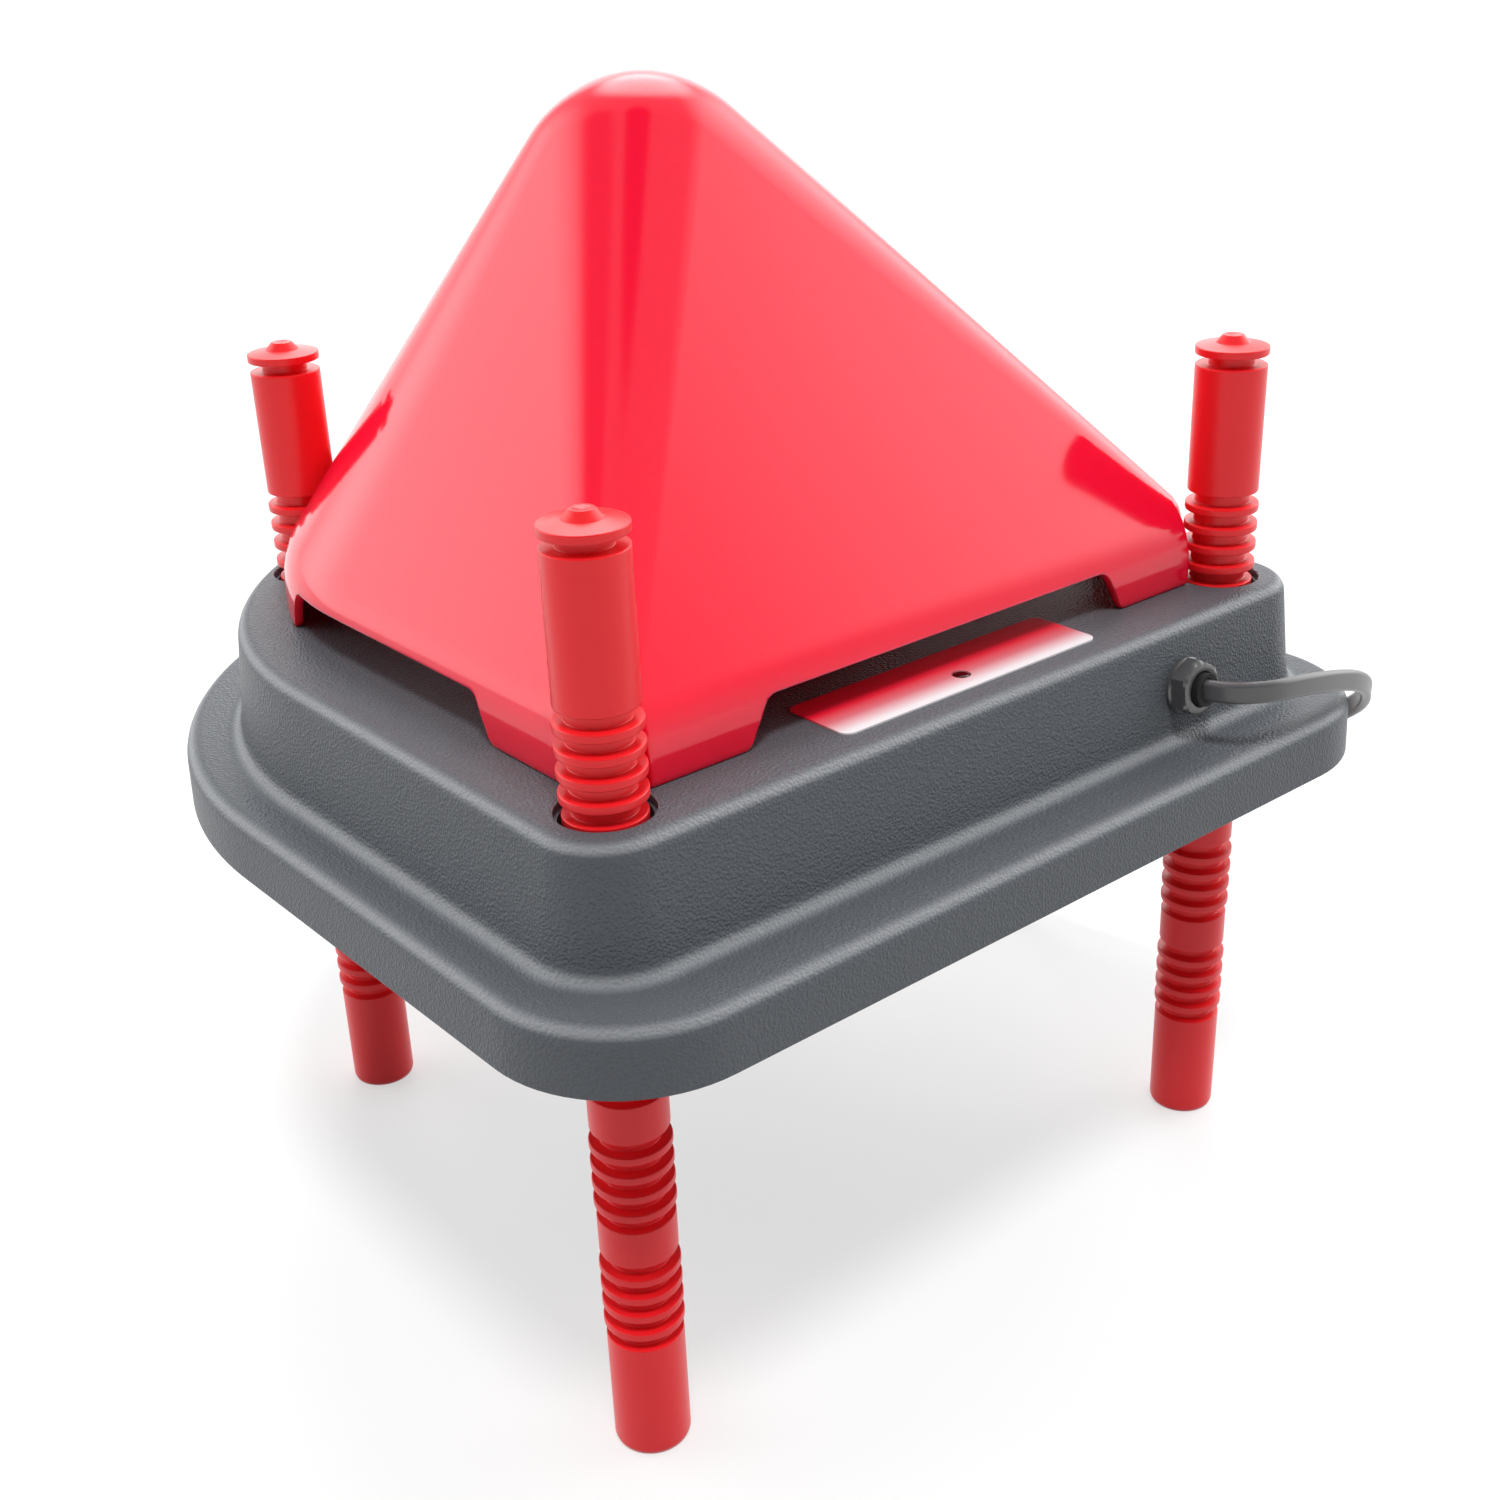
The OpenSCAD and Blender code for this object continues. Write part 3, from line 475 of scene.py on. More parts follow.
WIRE = plain("wire_sleeve", (0.3, 0.06, 0.03), 0.45)
CORD = plain("cord_sheath", (0.1, 0.098, 0.102), 0.3)
TIE = plain("tie_strap", (0.01, 0.01, 0.011), 0.5)
PLUG = plain("plug_plastic", (0.03, 0.034, 0.039), 0.45)
PIN = plain("pin_metal", (0.7, 0.62, 0.42), 0.25, metallic=1.0)

CAD_FINISHES = {
    "base_plate": BASE,
    "edge_seal": SEAL,
    "heating_mat": MAT,
    "heating_track": TRACK,
    "insulation_pad": WOOL,
    "grip_rings": SEAL,
    "label_plate": LABEL,
    "lamp_board": BOARD,
    "gland_locknut": GLAND,
    "gland_bush": SEAL,
    "terminal_block": TERMINAL,
    "thermal_cutout": CUTOUT,
    "cord_cores": WIRE,
    "heater_leads": WIRE,
    "lamp_leads": WIRE,
    "cord_tie": TIE,
    "plug_pins": PIN,
    **{"guide_" + name: GUIDE for name in LEGS},
}


def finish_cad_pieces():
    """Finishes of the pieces whose own shape is shown."""
    for name, material in CAD_FINISHES.items():
        obj = NODES[name]
        if not obj.material_slots:
            obj.data.materials.append(material)
        for slot in obj.material_slots:
            slot.link = "OBJECT"
            slot.material = material


SOFT_SEGMENTS = 2
SOFT_ANGLE = math.radians(50)
SOFT_WIDTHS = {"base_plate": 0.4 * MM, "cord_tie": 0.4 * MM, "label_plate": 0.12 * MM}


def soften(node, width):
    """Small rounded edges on a piece whose own shape is shown."""
    edges = NODES[node].modifiers.new("soft edges", "BEVEL")
    edges.width = width
    edges.segments = SOFT_SEGMENTS
    edges.limit_method = "ANGLE"
    edges.angle_limit = SOFT_ANGLE


def place(obj, body, slot, *nodes):
    """Puts a piece on its body, in the place of the nodes it stands for. The slot is not used."""
    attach(obj, body)
    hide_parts(*nodes)
    return obj


# Housing

def housing_rings():
    """Rings of the shell from the inside of its top, down and round its lower lip, to its outer top."""
    flange_ceiling = FLANGE_TOP - SHELL_T
    tier_ceiling = PLATE_TOP - SHELL_T
    rings = [
        tier_ring(SHELL_T + tier_wall(tier_ceiling), tier_ceiling),
        tier_ring(SHELL_T + tier_wall(flange_ceiling), flange_ceiling),
        flange_ring(SHELL_T, flange_ceiling),
        flange_ring(SHELL_T, RIDE_Z + LIP_R),
        flange_ring(SHELL_T - LIP_R, RIDE_Z),
    ]
    for a in quarter(LIP_STEPS):
        rings.append(flange_ring(LIP_R * (1 - math.sin(a)), RIDE_Z + LIP_R * (1 - math.cos(a))))
    edge_share = (FLANGE_H - FLANGE_EDGE_R) / FLANGE_H
    for a in quarter(EDGE_STEPS):
        back = 1 - math.cos(a)
        lean = FLANGE_LEAN * (edge_share * math.cos(a) + back)
        z = FLANGE_TOP - FLANGE_EDGE_R * (1 - math.sin(a))
        rings.append(flange_ring(lean + FLANGE_EDGE_R * back, z))
    for a in quarter(EDGE_STEPS):
        z = FLANGE_TOP + FILLET_R * (1 - math.cos(a))
        rings.append(tier_ring(tier_wall(z) - FILLET_R * (1 - math.sin(a)), z))
    for a in quarter(EDGE_STEPS):
        z = PLATE_TOP - TIER_EDGE_R * (1 - math.sin(a))
        rings.append(tier_ring(tier_wall(z) + TIER_EDGE_R * (1 - math.cos(a)), z))
    return rings


HOLE_LIP = 0.8 * MM
HOLE_STEPS = 4
HOLE_SEGMENTS = 64
LENS_D = 5 * MM
HOLE_GAP = 0.1 * MM
LENS_SEGMENTS = 32
LENS_SPOT = middle("lamp_lens")


def leg_hole_cutter(spot):
    """Leg hole with a rounded lip."""
    r = LEG_HOLE_D / 2
    profile = [(r, PLATE_TOP - 3 * SHELL_T), (r, PLATE_TOP - HOLE_LIP)]
    for a in quarter(HOLE_STEPS)[1:]:
        profile.append((r + HOLE_LIP * (1 - math.cos(a)), PLATE_TOP - HOLE_LIP * (1 - math.sin(a))))
    profile.append((r + HOLE_LIP, PLATE_TOP + SHELL_T))
    return piece("hole_cutter", *lathe(profile, HOLE_SEGMENTS, spot), HOUSING)


# Gland, square to the leaning front wall
GLAND_X = 72 * MM
GLAND_DROP = 18 * MM
TIER_FRONT_Y = FRONT_Y + TIER_INSET + TIER_FRONT_EXTRA
GLAND_Z = PLATE_TOP - GLAND_DROP
GLAND_SPOT = Vector((GLAND_X, TIER_FRONT_Y + tier_wall(GLAND_Z), GLAND_Z))
LEAN_ANGLE = math.atan(TIER_LEAN / TIER_H)
ON_WALL = Matrix.Translation(GLAND_SPOT) @ Matrix.Rotation(math.pi / 2 - LEAN_ANGLE, 4, "X")
GLAND_SHANK_D = 12 * MM
GLAND_BORE_D = 9.6 * MM
GLAND_REACH = 7.5 * MM
GLAND_WASHER_D = 16.4 * MM
GLAND_WASHER_H = 1.5 * MM
GLAND_AF = 14.6 * MM
GLAND_H = 5 * MM
GLAND_EDGE = 0.5 * MM
GLAND_CHAMFER = 1 * MM
GLAND_SEGMENTS = 48
HEX_STEPS = 96
HOUSING_SHARP = 30


def make_housing():
    """Shell of the housing, with the holes for the legs, the lamp and the gland."""
    obj = piece("housing_shell", *loft(housing_rings(), cap_start=True, cap_end=True), HOUSING)
    weld(obj)
    for spot in LEG_PLACES.values():
        cut(obj, leg_hole_cutter(spot))
    r = LENS_D / 2 + HOLE_GAP
    bore = lathe([(r, PLATE_TOP - 2 * SHELL_T), (r, PLATE_TOP + SHELL_T)], LENS_SEGMENTS, LENS_SPOT)
    cut(obj, piece("lamp_cutter", *bore, HOUSING))
    r = GLAND_SHANK_D / 2 + HOLE_GAP
    shank = moved(lathe([(r, -GLAND_REACH), (r, GLAND_WASHER_H)], GLAND_SEGMENTS), ON_WALL)
    cut(obj, piece("gland_cutter", *shank, HOUSING))
    crisp(obj, HOUSING_SHARP)
    place(obj, "plate", "housing_plastic", "top_housing")


# Cover

COVER_SPACING = 0.6 * MM
COVER_THIN = 6
CREASE_REACH = 8 * MM
RIM_EDGE = 0.5 * MM
SCALLOP_R = 13.2 * MM
SCALLOP_SOFT = 1.6 * MM
CREASE_Z = PLATE_TOP + COVER_FOOT_H
PEAK = Vector((0, PEAK_Y, PEAK_Z))
SKIRT_STEPS = 4
CREASE_STEPS = 10
LOW_SLOPE_STEPS = 22
LOW_SLOPE_STEP = 1.2 * MM
SLOPE_STEPS = 6
PEAK_STEPS = 12
ARCH_FOOT_R = 3 * MM
ARCH_TOP_R = 4.5 * MM
ARCH_END = rounded([
    (-ARCH_H, 0, 0), (0, 0, ARCH_FOOT_R), (ARCH_LEAN, ARCH_H, ARCH_TOP_R), (2 * ARCH_H, ARCH_H, 0),
], EDGE_STEPS)
LEG_NEAR_SHARE = 1.5
FRONT_FACING = -0.7
COVER_WELD = 0.01 * MM
COVER_SHARP = 50


def cover_outline():
    """Points and outward directions round the skirt, close together near the arches' ends and the legs."""
    half, low, corner, back = COVER_HALF_W, COVER_FRONT_Y, COVER_CORNER_R, COVER_ROUND_Y
    inner, rise = half - corner, low + corner
    right, up = Vector((1, 0)), Vector((0, 1))

    def line(a, b, normal):
        steps = round((b - a).length / COVER_SPACING)
        return [(a.lerp(b, k / steps), normal) for k in range(steps)]

    def arc(centre, r, start, turn):
        steps = round(math.radians(turn) * r / COVER_SPACING)
        angles = [math.radians(start + turn * k / steps) for k in range(steps)]
        ways = [Vector((math.cos(a), math.sin(a))) for a in angles]
        return [(centre + r * way, way) for way in ways]

    points = (
        line(Vector((-inner, low)), Vector((inner, low)), -up)
        + arc(Vector((inner, rise)), corner, 270, 90)
        + line(Vector((half, rise)), Vector((half, back)), right)
        + arc(Vector((0, back)), half, 0, 180)
        + line(Vector((-half, back)), Vector((-half, rise)), -right)
        + arc(Vector((-inner, rise)), corner, 180, 90)
    )
    return [point for i, point in enumerate(points) if i % COVER_THIN == 0 or near_detail(*point)]


def arch_depth(point, normal):
    """How far inside an arch a point of the outline lies, along the outline."""
    x, y = abs(point.x), point.y
    if normal.y < FRONT_FACING:
        return FRONT_ARCH_W / 2 - x
    if y > COVER_ROUND_Y + COVER_HALF_W / 2:
        return BACK_ARCH_W / 2 - x
    return min(y - SIDE_ARCH_LOW, SIDE_ARCH_HIGH - y)


def near_detail(point, normal):
    """True near an arch's end or a leg."""
    if -ARCH_TOP_R < arch_depth(point, normal) < ARCH_LEAN + ARCH_TOP_R:
        return True
    return any((point - spot.to_2d()).length < LEG_NEAR_SHARE * SCALLOP_R for spot in LEG_PLACES.values())


def smooth_step(t):
    """Eased rise from 0 to 1."""
    t = min(max(t, 0.0), 1.0)
    return t * t * (3 - 2 * t)


def lower_edge(point, normal):
    """Height of the cover's lower edge above the plate: zero at the feet, highest in the arches."""
    depth = arch_depth(point, normal)
    for (start, low), (end, high) in zip(ARCH_END, ARCH_END[1:]):
        if depth < end:
            return low + (high - low) * max(0.0, depth - start) / (end - start)
    return ARCH_H


def face_tilt(point, normal):
    """Elevation of the plane that touches the crease at this point and the round peak."""
    ahead = (point - PEAK.to_2d()).dot(normal)
    above = PEAK_Z - CREASE_Z
    return math.acos(PEAK_R / math.hypot(ahead, above)) - math.atan2(above, ahead)


def bend_point(crease, along, t):
    """Point of the soft crease between the upright skirt and the sloping face."""
    return crease + CREASE_REACH * (t * t * along - (1 - t) ** 2 * Vector((0, 0, 1)))


def crease_share(low, climb):
    """Share of the soft crease below a lower edge, for a face that climbs by the given share."""
    left = min(1 - (CREASE_Z - low) / CREASE_REACH, 1.0)
    if left <= 0:
        return 0.0
    return (1 - math.sqrt(1 - (1 - climb) * left)) / (1 - climb)


def cover_column(point, normal):
    """Outer points and normals of the cover from its lower edge to its top, at one place."""
    out = normal.to_3d()
    up = Vector((0, 0, 1))
    tilt = face_tilt(point, normal)
    face = math.cos(tilt) * out + math.sin(tilt) * up
    crease = point.to_3d() + CREASE_Z * up
    touch = PEAK + PEAK_R * face
    along = (touch - crease).normalized()
    low = PLATE_TOP + lower_edge(point, normal)
    first = crease_share(low, along.z)
    start = min(low, CREASE_Z - CREASE_REACH)
    column = []
    for k in range(SKIRT_STEPS):
        t = k / SKIRT_STEPS
        if first == 0:
            column.append((point.to_3d() + (start + (CREASE_Z - CREASE_REACH - start) * t) * up, out))
        else:
            column.append((bend_point(crease, along, first), out.slerp(face, first)))
    for k in range(CREASE_STEPS + 1):
        t = first + (1 - first) * k / CREASE_STEPS
        column.append((bend_point(crease, along, t), out.slerp(face, t)))
    for k in range(1, LOW_SLOPE_STEPS + 1):
        column.append((crease + (CREASE_REACH + k * LOW_SLOPE_STEP) * along, face))
    foot = column[-1][0]
    for k in range(1, SLOPE_STEPS + 1):
        column.append((foot.lerp(touch, k / SLOPE_STEPS), face))
    for k in range(1, PEAK_STEPS + 1):
        a = tilt + (math.pi / 2 - tilt) * k / PEAK_STEPS
        way = math.cos(a) * out + math.sin(a) * up
        column.append((PEAK + PEAK_R * way, way))
    return column


def soft_min(a, b):
    """The lesser of two lengths, eased where they are nearly alike."""
    close = max(SCALLOP_SOFT - abs(a - b), 0.0) / SCALLOP_SOFT
    return min(a, b) - close * close * SCALLOP_SOFT / 4


def scalloped(point, r):
    """A point moved in towards the peak's axis, out of the room round a leg."""
    flat = point.to_2d() - PEAK.to_2d()
    if flat.length < r:
        return point
    way = flat.normalized()
    reach = flat.length
    for spot in LEG_PLACES.values():
        leg = spot.to_2d() - PEAK.to_2d()
        along = leg.dot(way)
        across = (leg - along * way).length
        if along > 0 and across < r:
            reach = soft_min(reach, along - math.sqrt(r * r - across * across))
    flat = PEAK.to_2d() + reach * way
    return Vector((flat.x, flat.y, point.z))


def rim_ring(columns, depth, drop, r):
    """Ring of the lower rim, at a depth in from the outer face and a height above the lower edge."""
    return [scalloped(c[0][0] - depth * c[0][1] + Vector((0, 0, drop)), r) for c in columns]


def make_cover():
    """Loose cover, a shell with an inner face, a lower rim and an outer face."""
    outer = [cover_column(*spot) for spot in cover_outline()]
    count = len(outer[0])
    rings = []
    for i in reversed(range(1, count)):
        rings.append([scalloped(c[i][0] - COVER_T * c[i][1], SCALLOP_R + COVER_T) for c in outer])
    rings.append(rim_ring(outer, COVER_T, RIM_EDGE, SCALLOP_R + COVER_T))
    rings.append(rim_ring(outer, COVER_T - RIM_EDGE, 0, SCALLOP_R + COVER_T - RIM_EDGE))
    rings.append(rim_ring(outer, RIM_EDGE, 0, SCALLOP_R + RIM_EDGE))
    rings.append(rim_ring(outer, 0, RIM_EDGE, SCALLOP_R))
    for i in range(1, count):
        rings.append([scalloped(c[i][0], SCALLOP_R) for c in outer])
    obj = piece("cover_shell", *loft(rings), COVER)
    weld(obj, COVER_WELD)
    crisp(obj, COVER_SHARP)
    place(obj, "cover", "cover_plastic", "pyramid_cover")


# Legs

FOOT_ROUND = 1.8 * MM
RIB_ROUND = 0.4 * MM
GROOVE_ROUND = 0.3 * MM
EDGE_ROUND = 0.35 * MM
GROOVE_FLANK = 0.08 * GROOVE_W
CAP_RISE_SHARE = 0.3
NUB_TOP_SHARE = 0.6
DISH_SHARE = 0.42
DISH_H_SHARE = 0.15
LEG_ROUND_STEPS = 2
LEG_SEGMENTS = 48
LEG_SHARP = 60


def leg_profile():
    """Half outline of a leg from its foot to its nub."""
    points = [(0, 0, 0), (LEG_D / 2, 0, FOOT_ROUND)]
    group_h = GROOVE_COUNT * GROOVE_W + (GROOVE_COUNT - 1) * RIB_W
    for group in range(GROUP_COUNT):
        for k in range(GROOVE_COUNT):
            low = FOOT_H + group * (group_h + BAND_H) + k * (GROOVE_W + RIB_W)
            below = LEG_D if k == 0 else RIB_D
            above = LEG_D if k == GROOVE_COUNT - 1 else RIB_D
            points += [
                (below / 2, low, RIB_ROUND),
                (GROOVE_D / 2, low + GROOVE_FLANK, GROOVE_ROUND),
                (GROOVE_D / 2, low + GROOVE_W - GROOVE_FLANK, GROOVE_ROUND),
                (above / 2, low + GROOVE_W, RIB_ROUND),
            ]
    neck_z = FOOT_H + GROUP_COUNT * group_h + (GROUP_COUNT - 1) * BAND_H + SHOULDER_H
    cap_z = neck_z + NECK_H
    cap_top = cap_z + CAP_H
    nub_r = NUB_D / 2
    nub_top = cap_top + NUB_H
    return points + [
        (LEG_D / 2, neck_z, EDGE_ROUND),
        (NECK_D / 2, neck_z, GROOVE_ROUND),
        (NECK_D / 2, cap_z, GROOVE_ROUND),
        (CAP_D / 2, cap_z, EDGE_ROUND),
        (CAP_D / 2, cap_top, EDGE_ROUND),
        (nub_r, cap_top + NUB_H * CAP_RISE_SHARE, GROOVE_ROUND),
        (nub_r * NUB_TOP_SHARE, nub_top, EDGE_ROUND),
        (nub_r * DISH_SHARE, nub_top, EDGE_ROUND),
        (0, nub_top - NUB_H * DISH_H_SHARE, 0),
    ]


def make_legs():
    """The four grooved legs, each on its own body."""
    profile = rounded(leg_profile(), LEG_ROUND_STEPS)
    for name, spot in LEG_PLACES.items():
        obj = piece("leg_" + name + "_rod", *lathe(profile, LEG_SEGMENTS, spot), LEG)
        crisp(obj, LEG_SHARP)
        place(obj, name + "_leg", "leg_plastic", "leg_" + name)


# Lamp and gland

LENS_ROUND_STEPS = 5
GLAND_SHARP = 25


def make_lamp():
    """Pilot lamp lens: a dome through the housing's top, with a flange under it."""
    low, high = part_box("lamp_lens")
    flange_r = (high.x - low.x) / 2
    flange_top = PLATE_TOP - SHELL_T
    profile = rounded([
        (0, low.z, 0), (flange_r, low.z, 0), (flange_r, flange_top, 0), (LENS_D / 2, flange_top, 0),
        (LENS_D / 2, high.z, LENS_D / 4), (0, high.z, 0),
    ], LENS_ROUND_STEPS)
    obj = piece("lamp_dome", *lathe(profile, LENS_SEGMENTS, LENS_SPOT), LENS)
    crisp(obj)
    place(obj, "plate", "lamp_plastic", "lamp_lens")


def gland_ring(r, z, hexagon=False):
    """Round ring, or one held within the nut's hexagon."""
    ring = []
    for k in range(HEX_STEPS):
        a = 2 * math.pi * k / HEX_STEPS
        corner = (a + math.pi / 6) % (math.pi / 3) - math.pi / 6
        flat = GLAND_AF / 2 / math.cos(corner)
        reach = min(r, flat) if hexagon else r
        ring.append(Vector((reach * math.cos(a), reach * math.sin(a), z)))
    return ring


def make_gland():
    """Gland: shank through the wall, round washer, hexagon nut and the bore for the cord."""
    corner_r = GLAND_AF / 2 / math.cos(math.pi / 6)
    washer_r = GLAND_WASHER_D / 2
    top = GLAND_WASHER_H + GLAND_H
    bore = GLAND_BORE_D / 2
    edge, chamfer = GLAND_EDGE, GLAND_CHAMFER
    rings = [
        gland_ring(bore, -GLAND_REACH),
        gland_ring(GLAND_SHANK_D / 2, -GLAND_REACH),
        gland_ring(GLAND_SHANK_D / 2, 0),
        gland_ring(washer_r, 0),
        gland_ring(washer_r, GLAND_WASHER_H - edge),
        gland_ring(washer_r - edge, GLAND_WASHER_H),
        gland_ring(corner_r, GLAND_WASHER_H, True),
        gland_ring(corner_r, top - chamfer, True),
        gland_ring(corner_r - chamfer, top - chamfer / 3, True),
        gland_ring(corner_r - 2 * chamfer, top, True),
        gland_ring(bore + edge, top),
        gland_ring(bore, top - edge),
        gland_ring(bore, -GLAND_REACH),
    ]
    obj = piece("gland_nut", *moved(loft(rings), ON_WALL), GLAND)
    weld(obj)
    crisp(obj, GLAND_SHARP)
    place(obj, "plate", "gland_plastic", "gland_body")


# Cord: out of the gland, over the flange's corner, down to the floor, into the coil and on to the plug
# (routes in millimetres)

CORD_W = 6.4 * MM
CORD_T = 3.4 * MM
CORD_ROUTE = (
    (72, -125.1, 168.2), (72, -132.9, 169), (72, -141, 169.8), (73.2, -146.6, 170.4),
    (76.4, -151.4, 170.8), (81.2, -154.6, 170.8), (87, -155.8, 170.2), (97, -155.6, 168.4),
    (108, -154.6, 165.8), (119, -153, 162.6), (130, -151, 158.6), (140, -148, 153.4),
    (148.5, -143.5, 146.8), (154.5, -137, 139.8), (158, -128, 132.6), (160.5, -116, 124.5),
    (162, -101, 114), (163, -84, 101), (164, -66, 85), (165, -46, 65),
    (165.5, -26, 45), (166, -6, 26.5), (166.5, 14, 12.8), (167, 36, 6),
    (167, 60, 4.8), (166, 84, 4.8), (164, 110, 4.8), (161, 138, 4.8),
    (156.6, 168, 4.8), (154.8, 179, 4.8), (154, 188.6, 4.8), (154, 196.6, 4.8),
)
TAIL_ROUTE = (
    (105.6, 245, 11.8), (101, 245, 11.8), (95, 244.9, 11.3), (85, 244.4, 10), (74, 243.6, 8.4),
    (63, 242.8, 7.4), (52, 242, 7), (40, 242, 7),
)
COIL_MIDDLE = Vector((112 * MM, 203 * MM, 0))
COIL_R = 42 * MM
COIL_LOW = 4.8 * MM
COIL_PITCH = 5.2 * MM
COIL_LAYER = 7 * MM
COIL_TURNS = 5.25
COIL_RINGS = 32
COIL_SOFT = 0.15
CORD_SIDES = 20
CORD_SHARP = 60
CORD_GROOVE_SHARE = 0.06
CORD_GROOVE_POWER = 8
TAIL_TWIST = math.pi / 2


def smooth_path(points, steps=3):
    """Points on a smooth curve through the given ones, given in millimetres."""
    path = [MM * Vector(p) for p in points]
    out = []
    for i in range(len(path) - 1):
        before = path[max(i - 1, 0)]
        a, b = path[i], path[i + 1]
        after = path[min(i + 2, len(path) - 1)]
        for k in range(steps):
            t = k / steps
            out.append(0.5 * (
                2 * a + (b - before) * t + (2 * before - 5 * a + 4 * b - after) * t * t
                + (3 * a - before - 3 * b + after) * t ** 3
            ))
    return out + [path[-1]]


def coil_path():
    """Middle of the coiled cord: in on the lower layer, up, and out on the upper one."""
    half = COIL_TURNS / 2
    path = []
    for i in range(round(COIL_TURNS * COIL_RINGS) + 1):
        u = i / COIL_RINGS - half
        a = 2 * math.pi * (u + half)
        r = COIL_R - COIL_PITCH * (math.hypot(half, COIL_SOFT) - math.hypot(u, COIL_SOFT))
        z = COIL_LOW + COIL_LAYER * smooth_step(2 * u + 0.5)
        path.append(COIL_MIDDLE + Vector((r * math.cos(a), r * math.sin(a), z)))
    return path


def flat_section():
    """Twin flat cord: two round halves with a faint groove between them."""
    r = CORD_T / 2
    half = (CORD_W - CORD_T) / 2
    waist = r * (1 - 2 * CORD_GROOVE_SHARE)
    section = []
    for k in range(CORD_SIDES):
        a = 2 * math.pi * (k + 0.5) / CORD_SIDES
        groove = 1 - CORD_GROOVE_SHARE * math.cos(a) ** CORD_GROOVE_POWER
        section.append((r * math.cos(a) * groove, r * math.sin(a) + math.copysign(half, math.sin(a))))
    section.insert(CORD_SIDES // 2, (-waist, 0.0))
    section.append((waist, 0.0))
    return section


def make_cord():
    """Sheath of the whole cord, and its middle line."""
    route = smooth_path(CORD_ROUTE)
    tail = smooth_path(TAIL_ROUTE)
    lead = route + coil_path()
    path = lead + tail
    up = Vector((0, 0, 1))
    section = flat_section()
    rings = []
    for i, here in enumerate(path):
        ahead = (path[min(i + 1, len(path) - 1)] - path[max(i - 1, 0)]).normalized()
        side = ahead.cross(up).normalized()
        rise = side.cross(ahead)
        roll = TAIL_TWIST * smooth_step((i - len(lead)) / (len(tail) - 1))
        c, s = math.cos(roll), math.sin(roll)
        rings.append([here + (x * c - y * s) * side + (x * s + y * c) * rise for x, y in section])
    obj = piece("supply_cord_sheath", *loft(rings, cap_start=True, cap_end=True), CORD)
    crisp(obj, CORD_SHARP)
    place(obj, "plate", "cord_sheath", "supply_cord", "cord_coil", "cord_tail")
    return obj, path


# Plug

PLUG_SPOT = Vector((40 * MM, 242 * MM, 7 * MM))
ON_PLUG = Matrix.Translation(PLUG_SPOT) @ Matrix.Rotation(-math.pi / 2, 4, "Y")
RELIEF_LEN = 24 * MM
RELIEF_D = 10 * MM
RELIEF_TIP_D = 7.6 * MM
RELIEF_RIBS = 6
PLUG_LEN = 36 * MM
PLUG_W = 34 * MM
PLUG_NECK_W = 18 * MM
PLUG_T = 13.6 * MM
PLUG_EDGE = 4 * MM
PLUG_STEPS = 14
PLUG_SIDES = 48
PLUG_SHARP = 40
# Steps in width, thickness, corner and length of the rounded ends of the body
PLUG_NECK_IN = (2 * MM, 3 * MM, 1 * MM, 0.5 * MM)
PLUG_FACE_IN = ((1 * MM, 1 * MM, 0.5 * MM, 0.2 * MM), (2 * MM, 2 * MM, 1 * MM, 0))
PLUG_FACE_ROUND = 1 * MM
RELIEF_RIB_DEEP = 1 * MM
RELIEF_RIB_EDGE = 0.5 * MM
RELIEF_RIB_ROOT = 0.2 * MM
# Places of a rib's end and of the gap after it, as shares of the step between ribs
RELIEF_RIB_END = 0.6
RELIEF_RIB_GAP = (0.65, 0.95)
RELIEF_ROUND_STEPS = 2
RELIEF_SEGMENTS = 32
PIN_GAP = 18.6 * MM
PIN_ROOT_D = 3.3 * MM
PIN_ROOT_LEN = 8 * MM
PIN_SEGMENTS = 24


def plug_ring(width, thick, edge, z):
    """Rounded rectangle across the plug."""
    ring = []
    for k in range(PLUG_SIDES):
        a = 2 * math.pi * (k + 0.5) / PLUG_SIDES
        x = math.copysign(thick / 2 - edge, math.cos(a)) + edge * math.cos(a)
        y = math.copysign(width / 2 - edge, math.sin(a)) + edge * math.sin(a)
        ring.append(Vector((x, y, z)))
    return ring


def plug_grip():
    """Body of the plug: it widens from its neck, then runs straight to its face."""
    w, t, r, drop = PLUG_NECK_IN
    rings = [plug_ring(PLUG_NECK_W - w, PLUG_T - t, PLUG_EDGE - r, RELIEF_LEN - drop)]
    for k in range(PLUG_STEPS + 1):
        along = k / PLUG_STEPS
        width = PLUG_NECK_W + (PLUG_W - PLUG_NECK_W) * smooth_step(2 * along)
        rings.append(plug_ring(width, PLUG_T, PLUG_EDGE, RELIEF_LEN + along * (PLUG_LEN - PLUG_FACE_ROUND)))
    for w, t, r, drop in PLUG_FACE_IN:
        rings.append(plug_ring(PLUG_W - w, PLUG_T - t, PLUG_EDGE - r, RELIEF_LEN + PLUG_LEN - drop))
    return loft(rings, cap_start=True, cap_end=True)


def plug_relief():
    """Strain relief with ribs, round the end of the cord."""
    points = [(0, 0, 0)]
    step = RELIEF_LEN / RELIEF_RIBS
    for k in range(RELIEF_RIBS):
        r = (RELIEF_TIP_D + (RELIEF_D - RELIEF_TIP_D) * k / RELIEF_RIBS) / 2
        points += [(r, (k + share) * step, RELIEF_RIB_EDGE) for share in (0, RELIEF_RIB_END)]
        points += [(r - RELIEF_RIB_DEEP, (k + share) * step, RELIEF_RIB_ROOT) for share in RELIEF_RIB_GAP]
    points += [(RELIEF_D / 2, RELIEF_LEN, 0), (0, RELIEF_LEN, 0)]
    return lathe(rounded(points, RELIEF_ROUND_STEPS), RELIEF_SEGMENTS)


